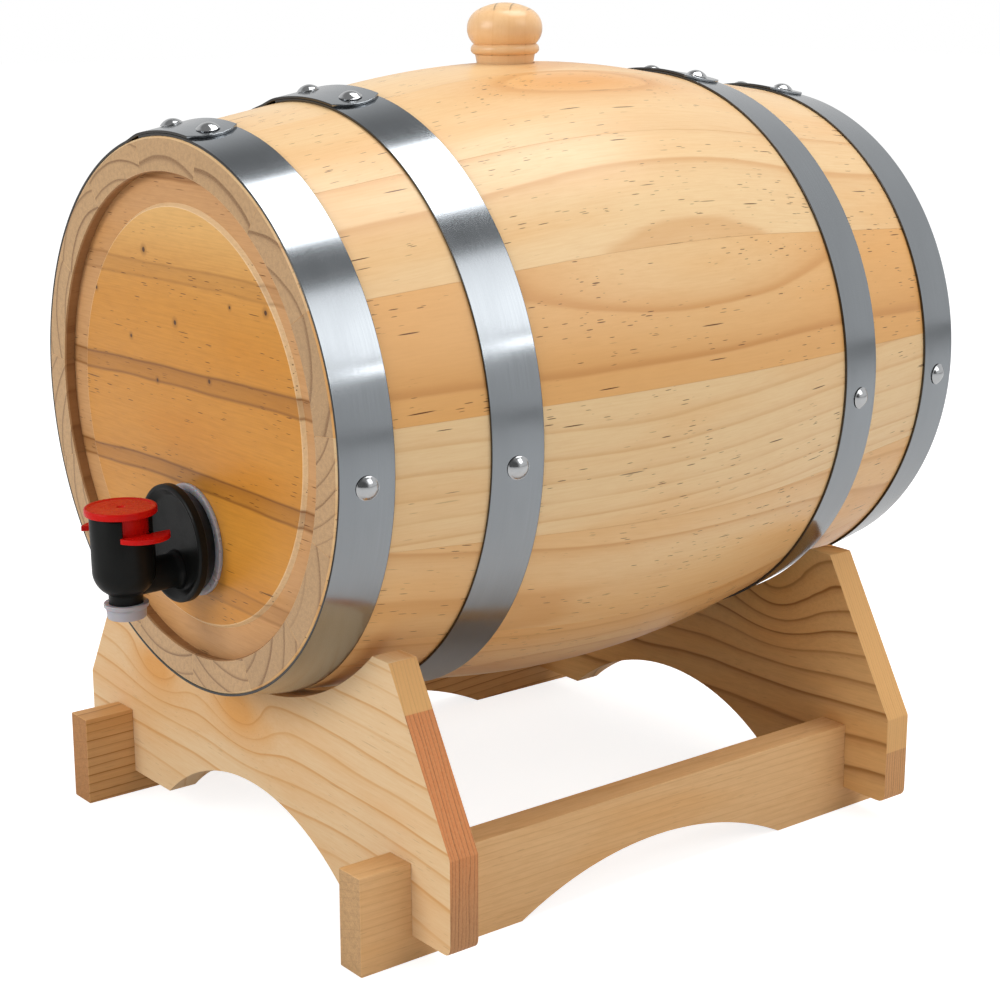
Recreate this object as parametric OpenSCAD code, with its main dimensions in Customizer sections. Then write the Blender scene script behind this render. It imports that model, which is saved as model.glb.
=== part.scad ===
// Pine cask with a push-in tap, lying nose down on a stand of crossed boards.
// Millimetres, +Z up. The tap faces -Y, and the origin is on the floor at the
// middle of the object's footprint.
// Sizes on the cask are in the cask's own frame: its axis is Y, its middle is 0,
// and the whole frame is tipped so that the tap end is a little lower.

/* [Staves] */
// Length of a stave, from end to end of the cask
cask_len = 300; // [290:1:330]
// Outer radius of the wood at the belly
belly_r = 118.9; // [116:0.1:121]
// Outer radius of the wood at each end
end_r = 99.6; // [97:0.1:102]
// Distance from the middle at which a stave's straight ends, run on, would meet
bend_knee = 29.1; // [26:0.1:32]
// Thickness of a stave
stave_t = 12.2; // [11:0.1:14]
// Number of staves, odd so that one lies on top
stave_count = 15; // [13:2:19]

/* [Heads] */
// Depth of a head's rim below the ends of the staves
head_depth = 4.5; // [3:0.1:8]
// Thickness of a head at its rim
head_t = 10; // [8:0.1:14]
// Thickness of the tongue that sits in the stave groove
tongue_t = 6; // [4:0.1:7]
// Depth of the groove cut in the staves
groove_depth = 3.5; // [2:0.1:5]
// Radius of the raised middle of a head
field_r = 75.3; // [70:0.1:80]
// Height of the raised middle above the rim of the head
field_rise = 1.4; // [0.5:0.1:3]
// Width of the bevel round the raised middle
field_bevel = 1.2; // [0.5:0.1:3]

/* [Hoops] */
// Width of a hoop
hoop_w = 20; // [16:0.5:22]
// Thickness of the hoop steel
hoop_t = 1; // [0.8:0.1:1.5]
// Distance that a head hoop is set back from the end of the staves
hoop_setback = 0.4; // [0.1:0.1:2]
// Distance of a quarter hoop's middle from the middle of the cask
quarter_y = 84.3; // [82:0.1:95]
// Half angle of the lap where a hoop overlaps itself
lap_half = 11; // [10:0.5:14]
// Distance that the lap's round end bulges
lap_bulge = 5; // [3:0.5:7]
// Angle between a lap's middle and each of its rivets
rivet_angle = 7; // [5:0.1:8]
// Angle of a hoop nail below the widest line of the cask
nail_angle = 4; // [2:0.1:10]
// Radius of a rivet or nail head
rivet_r = 4.3; // [3:0.1:5]
// Height of a rivet or nail head
rivet_h = 2.2; // [1:0.1:3]
// Radius of a rivet's shank
rivet_shank_r = 2; // [1.5:0.1:2.5]
// Radius of a nail's shank
nail_shank_r = 1.2; // [0.8:0.1:1.6]
// Length of a nail below its head
nail_len = 9; // [6:0.5:10]

/* [Bung] */
// Radius of the ball on the bung
knob_r = 14.5; // [12:0.1:17]
// Height of the ball's widest line above the staves
knob_h = 12.6; // [11:0.1:16]
// Height of the ball above its widest line
knob_dome = 9.6; // [8.8:0.1:12]
// Radius of the ball's rounded side
knob_side_r = 8; // [7:0.1:8.4]
// Radius of the bead under the ball
bead_r = 13.2; // [12:0.1:14.4]
// Height of the bead's middle above the staves
bead_h = 4.9; // [3.5:0.1:6]
// Half the height of the bead
bead_half = 2.1; // [1:0.1:2.5]
// Amount that the neck widens from the staves to the bead
neck_flare = 0.5; // [0.2:0.1:1]
// Radius of the bung where it enters the cask
plug_r = 11; // [9:0.1:12]
// Amount that the plug narrows towards its foot
plug_taper = 0.4; // [0.2:0.1:1]
// Length of the plug below the surface of the staves
plug_len = 16; // [13:0.5:20]
// Clear gap between the plug and the hole that it stands in
plug_gap = 0.4; // [0.3:0.1:1]
// Depth of the wooden lip above the filler collar
lip_t = 3; // [2:0.1:5]
// Wall of the filler collar
filler_wall = 1.9; // [1:0.1:2.5]

/* [Inner tank] */
// Wall of the inner tank
tank_t = 1.5; // [1:0.1:2.5]
// Gap between the inner tank and the inside of the staves
tank_gap = 3; // [2:0.1:5]
// Bore of the gland that the tap is pushed into
gland_bore_r = 11.2; // [10:0.1:12]
// Wall of the gland
gland_wall = 2.5; // [1.5:0.1:3.5]
// Gap between the gland and the hole in the head
gland_gap = 0.3; // [0.1:0.1:1]
// Radius of the gland's inner flange
gland_flange_r = 20; // [17:0.1:26]
// Thickness of the gland's inner flange
gland_flange_t = 1.5; // [1:0.1:3]
// Radius of the collar on the outside of the head
collar_r = 20.7; // [19:0.1:24]
// Thickness of that collar
collar_t = 1.5; // [1:0.1:3]

/* [Tap body] */
// Distance of the tap's axis below the cask's axis
tap_drop = 44.6; // [40:0.1:50]
// Radius of the tap's flange
flange_r = 21.7; // [19:0.1:24]
// Depth of the flange behind its rim
flange_back = 4.7; // [3:0.1:6]
// Width of the flange's rim
rim_t = 3.7; // [2:0.1:4]
// Depth of the dish in the front of the flange
dish = 2.4; // [1:0.1:3]
// Distance from the front of the flange to the axis of the body
body_reach = 18.5; // [17.6:0.1:24]
// Radius of the tap's body
body_r = 11.3; // [10.8:0.1:12]
// Wall of the tap's body
body_wall = 1.6; // [1.2:0.1:2]
// Height of the body's top above the tap's axis
body_top = 14.3; // [13.8:0.1:18]
// Depth below the tap's axis where the body starts to round in
bowl_drop = 5.9; // [5.5:0.1:8]
// Radius of that rounding
bowl_r = 9.55; // [9.2:0.05:9.8]
// Radius of the spout
spout_r = 6.1; // [5.7:0.1:6.5]
// Depth of the spout's end below the tap's axis
spout_drop = 20.9; // [19:0.1:24]
// Radius of the neck between the flange and the body
neck_r = 6.3; // [5.5:0.1:7]
// Depth of the neck's axis below the tap's axis
neck_drop = 10; // [9:0.1:10.6]
// Radius of the passage through the neck
neck_bore_r = 2.5; // [2:0.1:2.8]
// Wall of the shank that pushes into the gland
shank_wall = 1.4; // [1:0.1:2]
// Gap between the shank and the gland
shank_gap = 0.2; // [0.1:0.1:0.3]
// Length of the shank behind the flange
shank_len = 24; // [20:0.5:30]

/* [Key and valve] */
// Angle that the key turns to open the tap
key_turn = 60; // [30:1:60]
// Radius of the key's cap
cap_r = 12.85; // [12:0.05:14]
// Thickness of the cap
cap_t = 2.5; // [2:0.1:4]
// Gap between the cap and the top of the body
cap_gap = 0.5; // [0.3:0.1:1]
// Gap between the key's core and the bore of the body
core_gap = 0.3; // [0.2:0.05:0.5]
// Height of a wing's upper face above the tap's axis
wing_h = 8.4; // [8:0.1:9.4]
// Thickness of a wing
wing_t = 1.8; // [1:0.1:2.4]
// Distance from the key's axis to the middle of a wing's round edge
wing_offset = 8.2; // [7:0.1:9]
// Angle of that middle, measured from +X towards the cask
wing_angle = 26; // [20:1:32]
// Radius of a wing's round edge
wing_r = 10.2; // [9:0.1:10.6]
// Distance of a wing's straight inner edge from the key's axis
wing_chord = 9.7; // [9:0.1:10.5]
// Angle from the first wing to the second
wing_spread = 157; // [150:1:165]
// Angle at which a wing's root starts
root_start = -31; // [-36:1:-28]
// Angle at which a wing's root ends
root_end = 22; // [10:1:24]
// Angle left free at each end of a window
window_free = 2; // [1:0.5:4]
// Radius of the hole that the valve closes
seat_r = 4.4; // [3.6:0.1:4.8]
// Radius of the rubber seal
seal_r = 5.3; // [5:0.1:5.8]
// Thickness of the rubber seal
seal_t = 2; // [1.5:0.1:3]
// Height of the valve seat above the spout's end
seat_h = 8; // [7:0.1:9]
// Radius of the valve stem
stem_r = 2.5; // [2:0.1:3]
// Gap between the valve's piston and the bore of the body
piston_gap = 0.1; // [0.05:0.01:0.2]
// Thickness of the valve's piston
piston_t = 2.5; // [1.5:0.1:3]

/* [Spout ring] */
// Radius of the ring's rim
ring_r = 8; // [7.5:0.1:9]
// Radius of the ring's foot
ring_foot_r = 6.9; // [6.4:0.1:7.4]
// Radius of the ring's mouth
ring_mouth_r = 5.2; // [4.6:0.1:5.6]
// Height of the ring's rim
ring_rim_h = 1.3; // [0.5:0.1:2]
// Height of the ring
ring_h = 5.6; // [4.5:0.1:8]
// Depth of the socket that holds the spout
socket_depth = 3; // [2:0.1:4]

/* [Stand] */
// Thickness of a cradle board
board_t = 12; // [10:0.1:16]
// Half width of a cradle board
board_half_w = 126.2; // [124:0.1:135]
// Height of a board's bottom edge above the floor
board_lift = 9.3; // [5:0.1:12]
// Radius of a board's lower corners
board_corner_r = 4; // [2:0.1:6]
// Height where a board's side starts to lean in
kink_h = 44.2; // [40:0.1:55]
// Height of a board's tips
tip_h = 104.9; // [100:0.1:110]
// Half width of a board at its tips
tip_half_w = 92; // [90:0.1:96]
// Lowest height of the saddle in the front board
saddle_h = 71.7; // [65:0.1:80]
// Gap between the saddle and the cask
saddle_gap = 0.3; // [0.2:0.05:0.5]
// How much larger the rear saddle's radius is than what lies in it
rear_saddle_play = 1.6; // [0.6:0.1:8]
// Extra depth of the rear saddle under the hoop that lies in it
hoop_room = 0.2; // [0.1:0.05:0.5]
// Height of the arch under a board
board_arch_h = 33.2; // [30:0.1:36]
// Half width of that arch at the board's bottom edge
board_arch_half = 63; // [50:0.1:80]
// Thickness of a rail
rail_t = 12.4; // [10:0.1:16]
// Distance of a rail's outer face from the middle
rail_out = 104.1; // [98:0.1:108]
// Height of a rail
rail_h = 36.2; // [33:0.1:40]
// Distance that a rail runs past each board
rail_overhang = 21.4; // [15:0.1:30]
// Distance between the outer faces of the two boards
board_span = 229.1; // [225:0.1:240]
// Distance of the cask's middle behind the stand's middle
cask_set = 11; // [5:0.1:12]
// Rise of the arch under a rail
rail_arch_h = 16; // [10:0.1:20]
// Half width of that arch at the floor
rail_arch_half = 65.5; // [50:0.1:80]
// Height where a board and a rail meet in their lap joint
lap_h = 22.5; // [20:0.1:26]

/* [Hidden] */
STAVES = [for (k = [1 : stave_count - 1]) str("stave_", k < 10 ? "0" : "", k)];

pine = "#e9bd7c";
stand_pine = "#dfae68";
head_pine = "#d3a05a";
steel = "#a9afb4";
black_plastic = "#1b1d1d";
red_plastic = "#c81e14";
clear_plastic = "#c3c1c9";

$fn = 96;
arc_fn = 360;       // fineness of the large arcs
over = 1;           // how far a cutting shape runs past the face it cuts

half_len = cask_len / 2;
stave_turn = 360 / stave_count;

// The side view of a stave is an arc over the belly, then a straight line to
// each end. cone is the slope of that line.
cone = atan((belly_r - end_r) / (half_len - bend_knee));
bend_r = round(100 * bend_knee / tan(cone / 2)) / 100;
bend_x = belly_r - bend_r;
function arc_end(depth) = [bend_x + (bend_r - depth) * cos(cone), (bend_r - depth) * sin(cone)];
// Radius at a distance y from the middle, depth millimetres under the face.
function cone_r(y, depth = 0) = arc_end(depth)[0] - (y - arc_end(depth)[1]) * tan(cone);

groove_y = half_len - head_depth;            // outer wall of the groove
groove_r = cone_r(groove_y, stave_t) + groove_depth;
head_back_y = groove_y - head_t;
tongue_back_y = groove_y - tongue_t;
head_fit = 0.2;                              // gap round a head's edge
field_y = groove_y + field_rise;

head_hoop_y = half_len - hoop_setback - hoop_w / 2;
hoop_ys = [-head_hoop_y, -quarter_y, quarter_y, head_hoop_y];

hole_r = plug_r + plug_gap;                  // filling hole in the top stave
filler_r = hole_r + filler_wall;
filler_foot_z = belly_r - stave_t - tank_gap - tank_t - 2;

tank_depth = stave_t + tank_gap;
tank_end_y = head_back_y - gland_flange_t;
gland_r = gland_bore_r + gland_wall;
gland_hole_r = gland_r + gland_gap;
shank_r = gland_bore_r - shank_gap;

collar_face_y = field_y + collar_t;
flange_face_y = collar_face_y + flange_back + rim_t;
body_y = flange_face_y + body_reach;
bore_r = body_r - body_wall;
body_floor = -spout_drop + seat_h;           // height of the valve seat
spout_bore_r = seat_r;

piston_z = -1;                               // underside of the valve's piston
piston_r = bore_r - piston_gap;
core_r = bore_r - core_gap;
core_z = piston_z + piston_t;
cap_z = body_top + cap_gap;
wing_low = wing_h - wing_t;
pivot_r = stem_r - 0.6;                      // pin that the key turns on
pivot_h = 8;
window_low = wing_low - 0.4;
wing_clear_r = body_r + 0.5;                 // a wing clears the body outside its root

rail_in = rail_out - rail_t;
rail_len = board_span + 2 * rail_overhang;
front_out_y = -board_span / 2 - cask_set;    // faces of the boards, from the cask's middle
front_in_y = front_out_y + board_t;
rear_out_y = front_out_y + board_span;
rear_in_y = rear_out_y - board_t;
rail_mid_y = -cask_set;
hoop_in_rear = rear_in_y < quarter_y + hoop_w / 2;
rear_saddle_h = saddle_h - (hoop_in_rear ? hoop_t / cos(cone) + hoop_room : 0);
saddle_r = belly_r + saddle_gap;
rear_saddle_r = cone_r(rear_in_y) + (hoop_in_rear ? hoop_t / cos(cone) : 0) + rear_saddle_play;

// The cask lies on the inner edges of the two saddles. Their radii set its tilt.
front_rest_r = cone_r(-front_in_y);
rear_rest_r = cone_r(rear_in_y);
tilt = atan((rear_rest_r - front_rest_r) / (rear_in_y - front_in_y));
axis_h = saddle_h + saddle_gap + front_rest_r - front_in_y * tan(tilt);
front_reach = (body_y + cap_r) * cos(tilt) + (cap_z + cap_t - tap_drop) * sin(tilt);
back_reach = half_len * cos(tilt) + end_r * sin(tilt);
cask_y = (front_reach - back_reach) / 2;

// Puts children, drawn in the cask's own frame, where the cask lies.
module on_cask() {
    translate([0, cask_y, axis_h]) rotate([tilt, 0, 0]) children();
}

// Puts children, drawn about a vertical axis, at the tap's body.
module on_tap() {
    on_cask() translate([0, -body_y, -tap_drop]) children();
}

// Puts children, drawn along +Z from the floor of the tap, on the tap's level axis
// with +Z towards the front.
module on_tap_axis(drop = 0) {
    on_cask() translate([0, 0, -tap_drop - drop]) rotate([90, 0, 0]) children();
}

// Puts children on the cask's cone at y, turned from +X, with +Z out of the wood.
module on_cone(y, turn, lift = 0) {
    rotate([0, -turn, 0])
        translate([cone_r(abs(y)), y, 0])
            rotate([0, 0, sign(y) * cone])
                rotate([0, 90, 0])
                    translate([0, 0, lift]) children();
}

// Half section of everything that lies depth millimetres under the staves' face.
module under_face(depth, end_y = half_len) {
    arc = arc_end(depth);
    end = cone_r(end_y, depth);
    polygon([[0, -end_y], [end, -end_y], arc - [0, 2 * arc[1]], arc, [end, end_y], [0, end_y]]);
    intersection() {
        translate([bend_x, 0]) circle(r = bend_r - depth, $fn = arc_fn * 2);
        polygon([[0, -arc[1]], [belly_r, -arc[1]], [belly_r, arc[1]], [0, arc[1]]]);
    }
}

// Section of a stave, with the groove for a head near each end.
module stave_section() {
    difference() {
        under_face(0);
        under_face(stave_t, half_len + over);
        for (side = [-1, 1])
            translate([0, side * (groove_y + tongue_back_y) / 2 - tongue_t / 2])
                square([groove_r, tongue_t]);
    }
}

// A section turned about the cask's axis from one angle through another.
module about_cask(start, turn) {
    rotate([90, 0, 0])
        rotate_extrude(angle = turn, start = start, $fn = arc_fn)
            mirror([0, 1]) children();
}

function nail_angles() = [-nail_angle, 180 + nail_angle];
function in_stave(turn, mid) = abs((turn - mid + 540) % 360 - 180) < stave_turn / 2;

// One stave whose middle is turned mid degrees from +X, drilled for its nails.
module stave_at(mid) {
    difference() {
        about_cask(mid - stave_turn / 2, stave_turn) stave_section();
        for (y = hoop_ys, turn = nail_angles())
            if (in_stave(turn, mid))
                on_cone(y, turn, -nail_len) cylinder(r = nail_shank_r, h = nail_len + over);
    }
}

module stave(k) {
    color(pine) on_cask() stave_at(90 + k * stave_turn);
}

module bung_stave() {
    color(pine) on_cask() difference() {
        stave_at(90);
        cylinder(r = hole_r, h = belly_r + over);
        cylinder(r = filler_r, h = belly_r - lip_t);
    }
}

// A head lies flat, its outer face at z = 0 and its back below that.
module head_board(hole) {
    back_r = cone_r(tongue_back_y, stave_t) - head_fit;
    tongue_r = groove_r - head_fit;
    difference() {
        rotate_extrude($fn = arc_fn) polygon([
            [0, -head_t], [back_r, -head_t], [back_r, -tongue_t], [tongue_r, -tongue_t],
            [tongue_r, 0], [field_r + field_bevel, 0], [field_r, field_rise], [0, field_rise]]);
        if (hole)
            translate([0, -tap_drop, -head_t - over])
                cylinder(r = gland_hole_r, h = head_t + field_rise + 2 * over);
    }
}

module front_head() {
    color(head_pine) on_cask()
        translate([0, -groove_y, 0]) rotate([90, 0, 0]) head_board(true);
}

module rear_head() {
    color(head_pine) on_cask()
        translate([0, groove_y, 0]) rotate([-90, 0, 0]) head_board(false);
}

// Section of hoop steel lying over the cone at y, from one number of layers to another.
module hoop_section(y, from, to) {
    side = sign(y);
    low = abs(y) - hoop_w / 2;
    high = abs(y) + hoop_w / 2;
    inner = from * hoop_t / cos(cone);
    outer = to * hoop_t / cos(cone);
    polygon([
        [cone_r(low) + inner, side * low], [cone_r(high) + inner, side * high],
        [cone_r(high) + outer, side * high], [cone_r(low) + outer, side * low]]);
}

// Outline of a lap seen from above, with its round end towards +X.
module lap_outline(y) {
    reach = cone_r(abs(y)) * sin(lap_half);
    round_r = (pow(hoop_w / 2, 2) + pow(lap_bulge, 2)) / (2 * lap_bulge);
    intersection() {
        translate([-reach - hoop_w, y - hoop_w]) square([2 * (reach + hoop_w), 2 * hoop_w]);
        union() {
            translate([-reach, y - hoop_w]) square([2 * reach - round_r, 2 * hoop_w]);
            translate([reach - round_r, y]) circle(r = round_r);
        }
    }
}

// A quarter hoop's lap sits a little further round than a head hoop's.
function lap_mid(y) = 90 - (abs(y) < (quarter_y + head_hoop_y) / 2 ? 2.3 : 0);
function rivet_angles(y) = [lap_mid(y) - rivet_angle, lap_mid(y) + rivet_angle];

// One hoop: a closed band, a second layer over its lap, and its drilled holes.
module hoop_at(y) {
    difference() {
        union() {
            about_cask(0, 360) hoop_section(y, 0, 1);
            intersection() {
                about_cask(lap_mid(y) - 2 * lap_half, 4 * lap_half) hoop_section(y, 0.5, 2);
                rotate([0, 90 - lap_mid(y), 0])
                    linear_extrude(belly_r + 2 * hoop_w) lap_outline(y);
            }
        }
        for (turn = rivet_angles(y))
            on_cone(y, turn, -over) cylinder(r = rivet_shank_r, h = 2 * hoop_t + 2 * over);
        for (turn = nail_angles())
            on_cone(y, turn, -over) cylinder(r = nail_shank_r, h = 2 * hoop_t + 2 * over);
    }
}

module front_head_hoop() { color(steel) on_cask() hoop_at(hoop_ys[0]); }
module front_quarter_hoop() { color(steel) on_cask() hoop_at(hoop_ys[1]); }
module rear_quarter_hoop() { color(steel) on_cask() hoop_at(hoop_ys[2]); }
module rear_head_hoop() { color(steel) on_cask() hoop_at(hoop_ys[3]); }

// A domed head on a shank that runs shank_len below it.
module domed_pin(shank_r, shank_len) {
    dome_r = (rivet_r * rivet_r + rivet_h * rivet_h) / (2 * rivet_h);
    intersection() {
        translate([0, 0, rivet_h - dome_r]) sphere(r = dome_r);
        cylinder(r = rivet_r + over, h = rivet_h + over);
    }
    translate([0, 0, -shank_len]) cylinder(r = shank_r, h = shank_len + rivet_h / 2);
}

module lap_rivets() {
    color(steel) on_cask()
        for (y = hoop_ys, turn = rivet_angles(y))
            on_cone(y, turn, 2 * hoop_t) domed_pin(rivet_shank_r, 2 * hoop_t);
}

module hoop_nails() {
    color(steel) on_cask()
        for (y = hoop_ys, turn = nail_angles())
            on_cone(y, turn, hoop_t) domed_pin(nail_shank_r, nail_len + hoop_t);
}

// The bung is turned from one piece: ball, bead, neck and tapered plug.
module bung() {
    bead_low = bead_h - bead_half;
    side_x = knob_r - knob_side_r;
    dome_r = (side_x * side_x + knob_dome * knob_dome - knob_side_r * knob_side_r)
           / (2 * (knob_dome - knob_side_r));
    dome_z = knob_h + knob_dome - dome_r;
    color(pine) on_cask() translate([0, 0, belly_r]) rotate_extrude() {
        polygon([
            [0, -plug_len], [plug_r - plug_taper, -plug_len], [plug_r, 0],
            [plug_r + neck_flare, bead_low], [plug_r + neck_flare, knob_h], [0, knob_h]]);
        translate([0, bead_low]) square([bead_r - bead_half, 2 * bead_half]);
        translate([bead_r - bead_half, bead_h]) circle(r = bead_half);
        intersection() {
            translate([side_x, knob_h]) circle(r = knob_side_r);
            translate([0, knob_h - knob_side_r]) square([knob_r, 2 * knob_side_r]);
        }
        translate([0, knob_h - over]) square([side_x, knob_side_r]);
        translate([0, dome_z]) intersection() {
            circle(r = dome_r, $fn = arc_fn);
            sector(atan2(knob_h - dome_z, side_x), 90, dome_r);
        }
    }
}

module filler_collar() {
    flange_r = filler_r + 3;
    flange_t = 1.2;
    flange_top = sqrt(pow(belly_r - stave_t, 2) - pow(flange_r, 2)) - 0.6;
    color(clear_plastic) on_cask() rotate_extrude() union() {
        translate([hole_r, filler_foot_z])
            square([filler_wall, belly_r - lip_t - filler_foot_z]);
        translate([hole_r, flange_top - flange_t])
            square([flange_r - hole_r, flange_t]);
    }
}

// A moulded tank that fills the cask, open at the filler collar and at the gland.
module inner_tank() {
    color(clear_plastic) on_cask() difference() {
        about_cask(0, 360) difference() {
            under_face(tank_depth, tank_end_y);
            under_face(tank_depth + tank_t, tank_end_y - tank_t);
        }
        cylinder(r = filler_r, h = belly_r);
        translate([0, -tank_end_y + 2 * tank_t, -tap_drop]) rotate([90, 0, 0])
            cylinder(r = gland_bore_r, h = 3 * tank_t);
    }
}

// The gland is welded to the tank and passes out through the front head.
module tank_gland() {
    color(clear_plastic) on_tap_axis() difference() {
        union() {
            translate([0, 0, tank_end_y]) cylinder(r = gland_r, h = collar_face_y - tank_end_y);
            translate([0, 0, tank_end_y]) cylinder(r = gland_flange_r, h = gland_flange_t);
        }
        translate([0, 0, tank_end_y - over])
            cylinder(r = gland_bore_r, h = collar_face_y - tank_end_y + 2 * over);
    }
}

module gland_collar() {
    color(clear_plastic) on_tap_axis() difference() {
        translate([0, 0, field_y]) cylinder(r = collar_r, h = collar_t);
        translate([0, 0, field_y - over]) cylinder(r = gland_r, h = collar_t + 2 * over);
    }
}

// Section of the tap's flange: a dished saucer, drawn from the collar forwards.
module flange_section() {
    back = collar_face_y;
    front = flange_face_y;
    edge = 0.6;
    polygon([
        [0, back], [flange_r - flange_back + 1, back],
        [flange_r - edge, front - rim_t], [flange_r, front - rim_t + edge],
        [flange_r, front - edge], [flange_r - edge, front], [flange_r - 1.6, front],
        [flange_r - 4.4, front - dish], [0, front - dish]]);
}

// Outer section of the tap's body, about its own upright axis.
module body_section() {
    square_low = -bowl_drop;
    translate([0, square_low]) square([body_r, body_top - square_low]);
    intersection() {
        union() {
            translate([body_r - bowl_r, square_low]) circle(r = bowl_r);
            translate([0, square_low - bowl_r]) square([body_r - bowl_r, bowl_r]);
        }
        translate([0, square_low - bowl_r]) square([body_r, bowl_r]);
    }
    translate([0, -spout_drop]) square([spout_r, spout_drop]);
}

// Inner section: the key's bore, the bowl over the valve seat, and the spout.
module bore_section() {
    translate([0, -bowl_drop]) square([bore_r, body_top + bowl_drop + over]);
    polygon([[0, -bowl_drop], [bore_r, -bowl_drop], [seal_r + 0.4, body_floor], [0, body_floor]]);
    translate([0, -spout_drop - over]) square([spout_bore_r, body_floor + spout_drop + 2 * over]);
}

// A flat sector between two angles, out to radius r.
module sector(from, to, r) {
    mid = (from + to) / 2;
    polygon([[0, 0], [r * cos(from), r * sin(from)],
        2 * r * [cos(mid), sin(mid)], [r * cos(to), r * sin(to)]]);
}

module tap_body() {
    color(black_plastic) difference() {
        union() {
            on_tap() rotate_extrude() body_section();
            on_tap_axis(neck_drop) translate([0, 0, collar_face_y + rim_t])
                cylinder(r = neck_r, h = body_y - collar_face_y - rim_t);
            on_tap_axis() rotate_extrude($fn = arc_fn / 2) flange_section();
            on_tap_axis() translate([0, 0, collar_face_y - shank_len])
                cylinder(r = shank_r, h = shank_len + over);
        }
        on_tap() rotate_extrude() bore_section();
        on_tap_axis() translate([0, 0, collar_face_y - shank_len - over])
            cylinder(r = shank_r - shank_wall, h = shank_len + flange_back + over);
        on_tap_axis(neck_drop - neck_r / 2 + 0.6) translate([0, 0, collar_face_y])
            cylinder(r = neck_bore_r, h = body_y - collar_face_y);
        on_tap() translate([0, 0, window_low]) linear_extrude(body_top)
            for (first = [0, wing_spread]) difference() {
                sector(first + root_start - window_free,
                    first + root_end + key_turn + window_free, body_r + over);
                circle(r = over);
            }
    }
}

module spout_ring() {
    top = -spout_drop + socket_depth;
    bottom = top - ring_h;
    color(clear_plastic) on_tap() difference() {
        rotate_extrude() polygon([
            [0, bottom], [ring_foot_r, bottom], [ring_foot_r + 0.3, top - ring_rim_h - 0.8],
            [ring_r, top - ring_rim_h], [ring_r, top - 0.3], [ring_r - 0.3, top], [0, top]]);
        translate([0, 0, -spout_drop]) cylinder(r = spout_r, h = socket_depth + over);
        translate([0, 0, bottom - over]) cylinder(r = ring_mouth_r, h = ring_h);
    }
}

// Plan of a wing: a disc cut by its straight inner edge, joined to the core by its root.
module wing_plan() {
    difference() {
        intersection() {
            translate(wing_offset * [cos(wing_angle), sin(wing_angle)]) circle(r = wing_r);
            translate([wing_chord, -2 * wing_r]) square([2 * wing_r, 4 * wing_r]);
        }
        circle(r = wing_clear_r);
    }
    intersection() {
        difference() {
            circle(r = wing_clear_r + 0.2);
            circle(r = core_r - over);
        }
        sector(root_start, root_end, body_r);
    }
}

module tap_key() {
    edge = 0.6;
    dimple_r = 1.2;
    dimple_d = 0.5;
    color(red_plastic) on_tap() difference() {
        union() {
            translate([0, 0, cap_z]) rotate_extrude() polygon([
                [0, 0], [cap_r - edge, 0], [cap_r, edge], [cap_r, cap_t - edge],
                [cap_r - edge, cap_t], [cap_r - 3 * edge, cap_t], [0, cap_t - edge / 2]]);
            translate([0, 0, core_z]) cylinder(r = core_r, h = cap_z - core_z + edge);
            for (first = [0, wing_spread])
                translate([0, 0, wing_low]) rotate(first) linear_extrude(wing_t) wing_plan();
        }
        translate([0, 0, core_z - over]) cylinder(r = stem_r, h = pivot_h + over);
        translate([0, 0, cap_z + cap_t - edge / 2 - dimple_d]) cylinder(r = dimple_r, h = over);
    }
}

module valve_stem() {
    foot_h = 1.2;
    seat = body_floor;
    color(clear_plastic) on_tap() {
        translate([0, 0, seat + seal_t]) cylinder(r = stem_r, h = core_z - seat - seal_t);
        translate([0, 0, piston_z]) cylinder(r = piston_r, h = piston_t);
        translate([0, 0, core_z]) cylinder(r = pivot_r, h = pivot_h - 0.5);
        translate([0, 0, seat - foot_h]) cylinder(r = pivot_r, h = seal_t + foot_h + over);
        translate([0, 0, seat - foot_h]) cylinder(r = stem_r, h = foot_h);
    }
}

module valve_seal() {
    color(black_plastic) on_tap() translate([0, 0, body_floor]) difference() {
        cylinder(r = seal_r, h = seal_t);
        translate([0, 0, -over]) cylinder(r = pivot_r, h = seal_t + 2 * over);
    }
}

// Radius of a circle through a chord's ends, half the chord and its rise given.
function arch_r(half, rise) = (half * half + rise * rise) / (2 * rise);

// Outline of a cradle board, seen from the front, with its saddle and its arch.
module board_outline(saddle_low, saddle_radius) {
    arch_rise = board_arch_h - board_lift;
    under_r = arch_r(board_arch_half, arch_rise);
    corner_x = board_half_w - board_corner_r;
    corner_z = board_lift + board_corner_r;
    difference() {
        union() {
            polygon([
                [-corner_x, board_lift], [corner_x, board_lift], [board_half_w, corner_z],
                [board_half_w, kink_h], [tip_half_w, tip_h], [-tip_half_w, tip_h],
                [-board_half_w, kink_h], [-board_half_w, corner_z]]);
            for (side = [-1, 1])
                translate([side * corner_x, corner_z]) circle(r = board_corner_r);
        }
        translate([0, saddle_low + saddle_radius]) circle(r = saddle_radius, $fn = arc_fn);
        translate([0, board_arch_h - under_r]) circle(r = under_r, $fn = arc_fn);
        for (side = [-1, 1])
            translate([side * (rail_out + rail_in) / 2 - rail_t / 2, 0]) square([rail_t, lap_h]);
    }
}

// A board standing upright, its front face at y measured from the cask's middle.
module board_at(y, saddle_low, saddle_radius) {
    translate([0, cask_y + y + board_t, 0]) rotate([90, 0, 0])
        linear_extrude(board_t) board_outline(saddle_low, saddle_radius);
}

module front_cradle_board() { color(stand_pine) board_at(front_out_y, saddle_h, saddle_r); }
module rear_cradle_board() { color(stand_pine) board_at(rear_in_y, rear_saddle_h, rear_saddle_r); }

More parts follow.
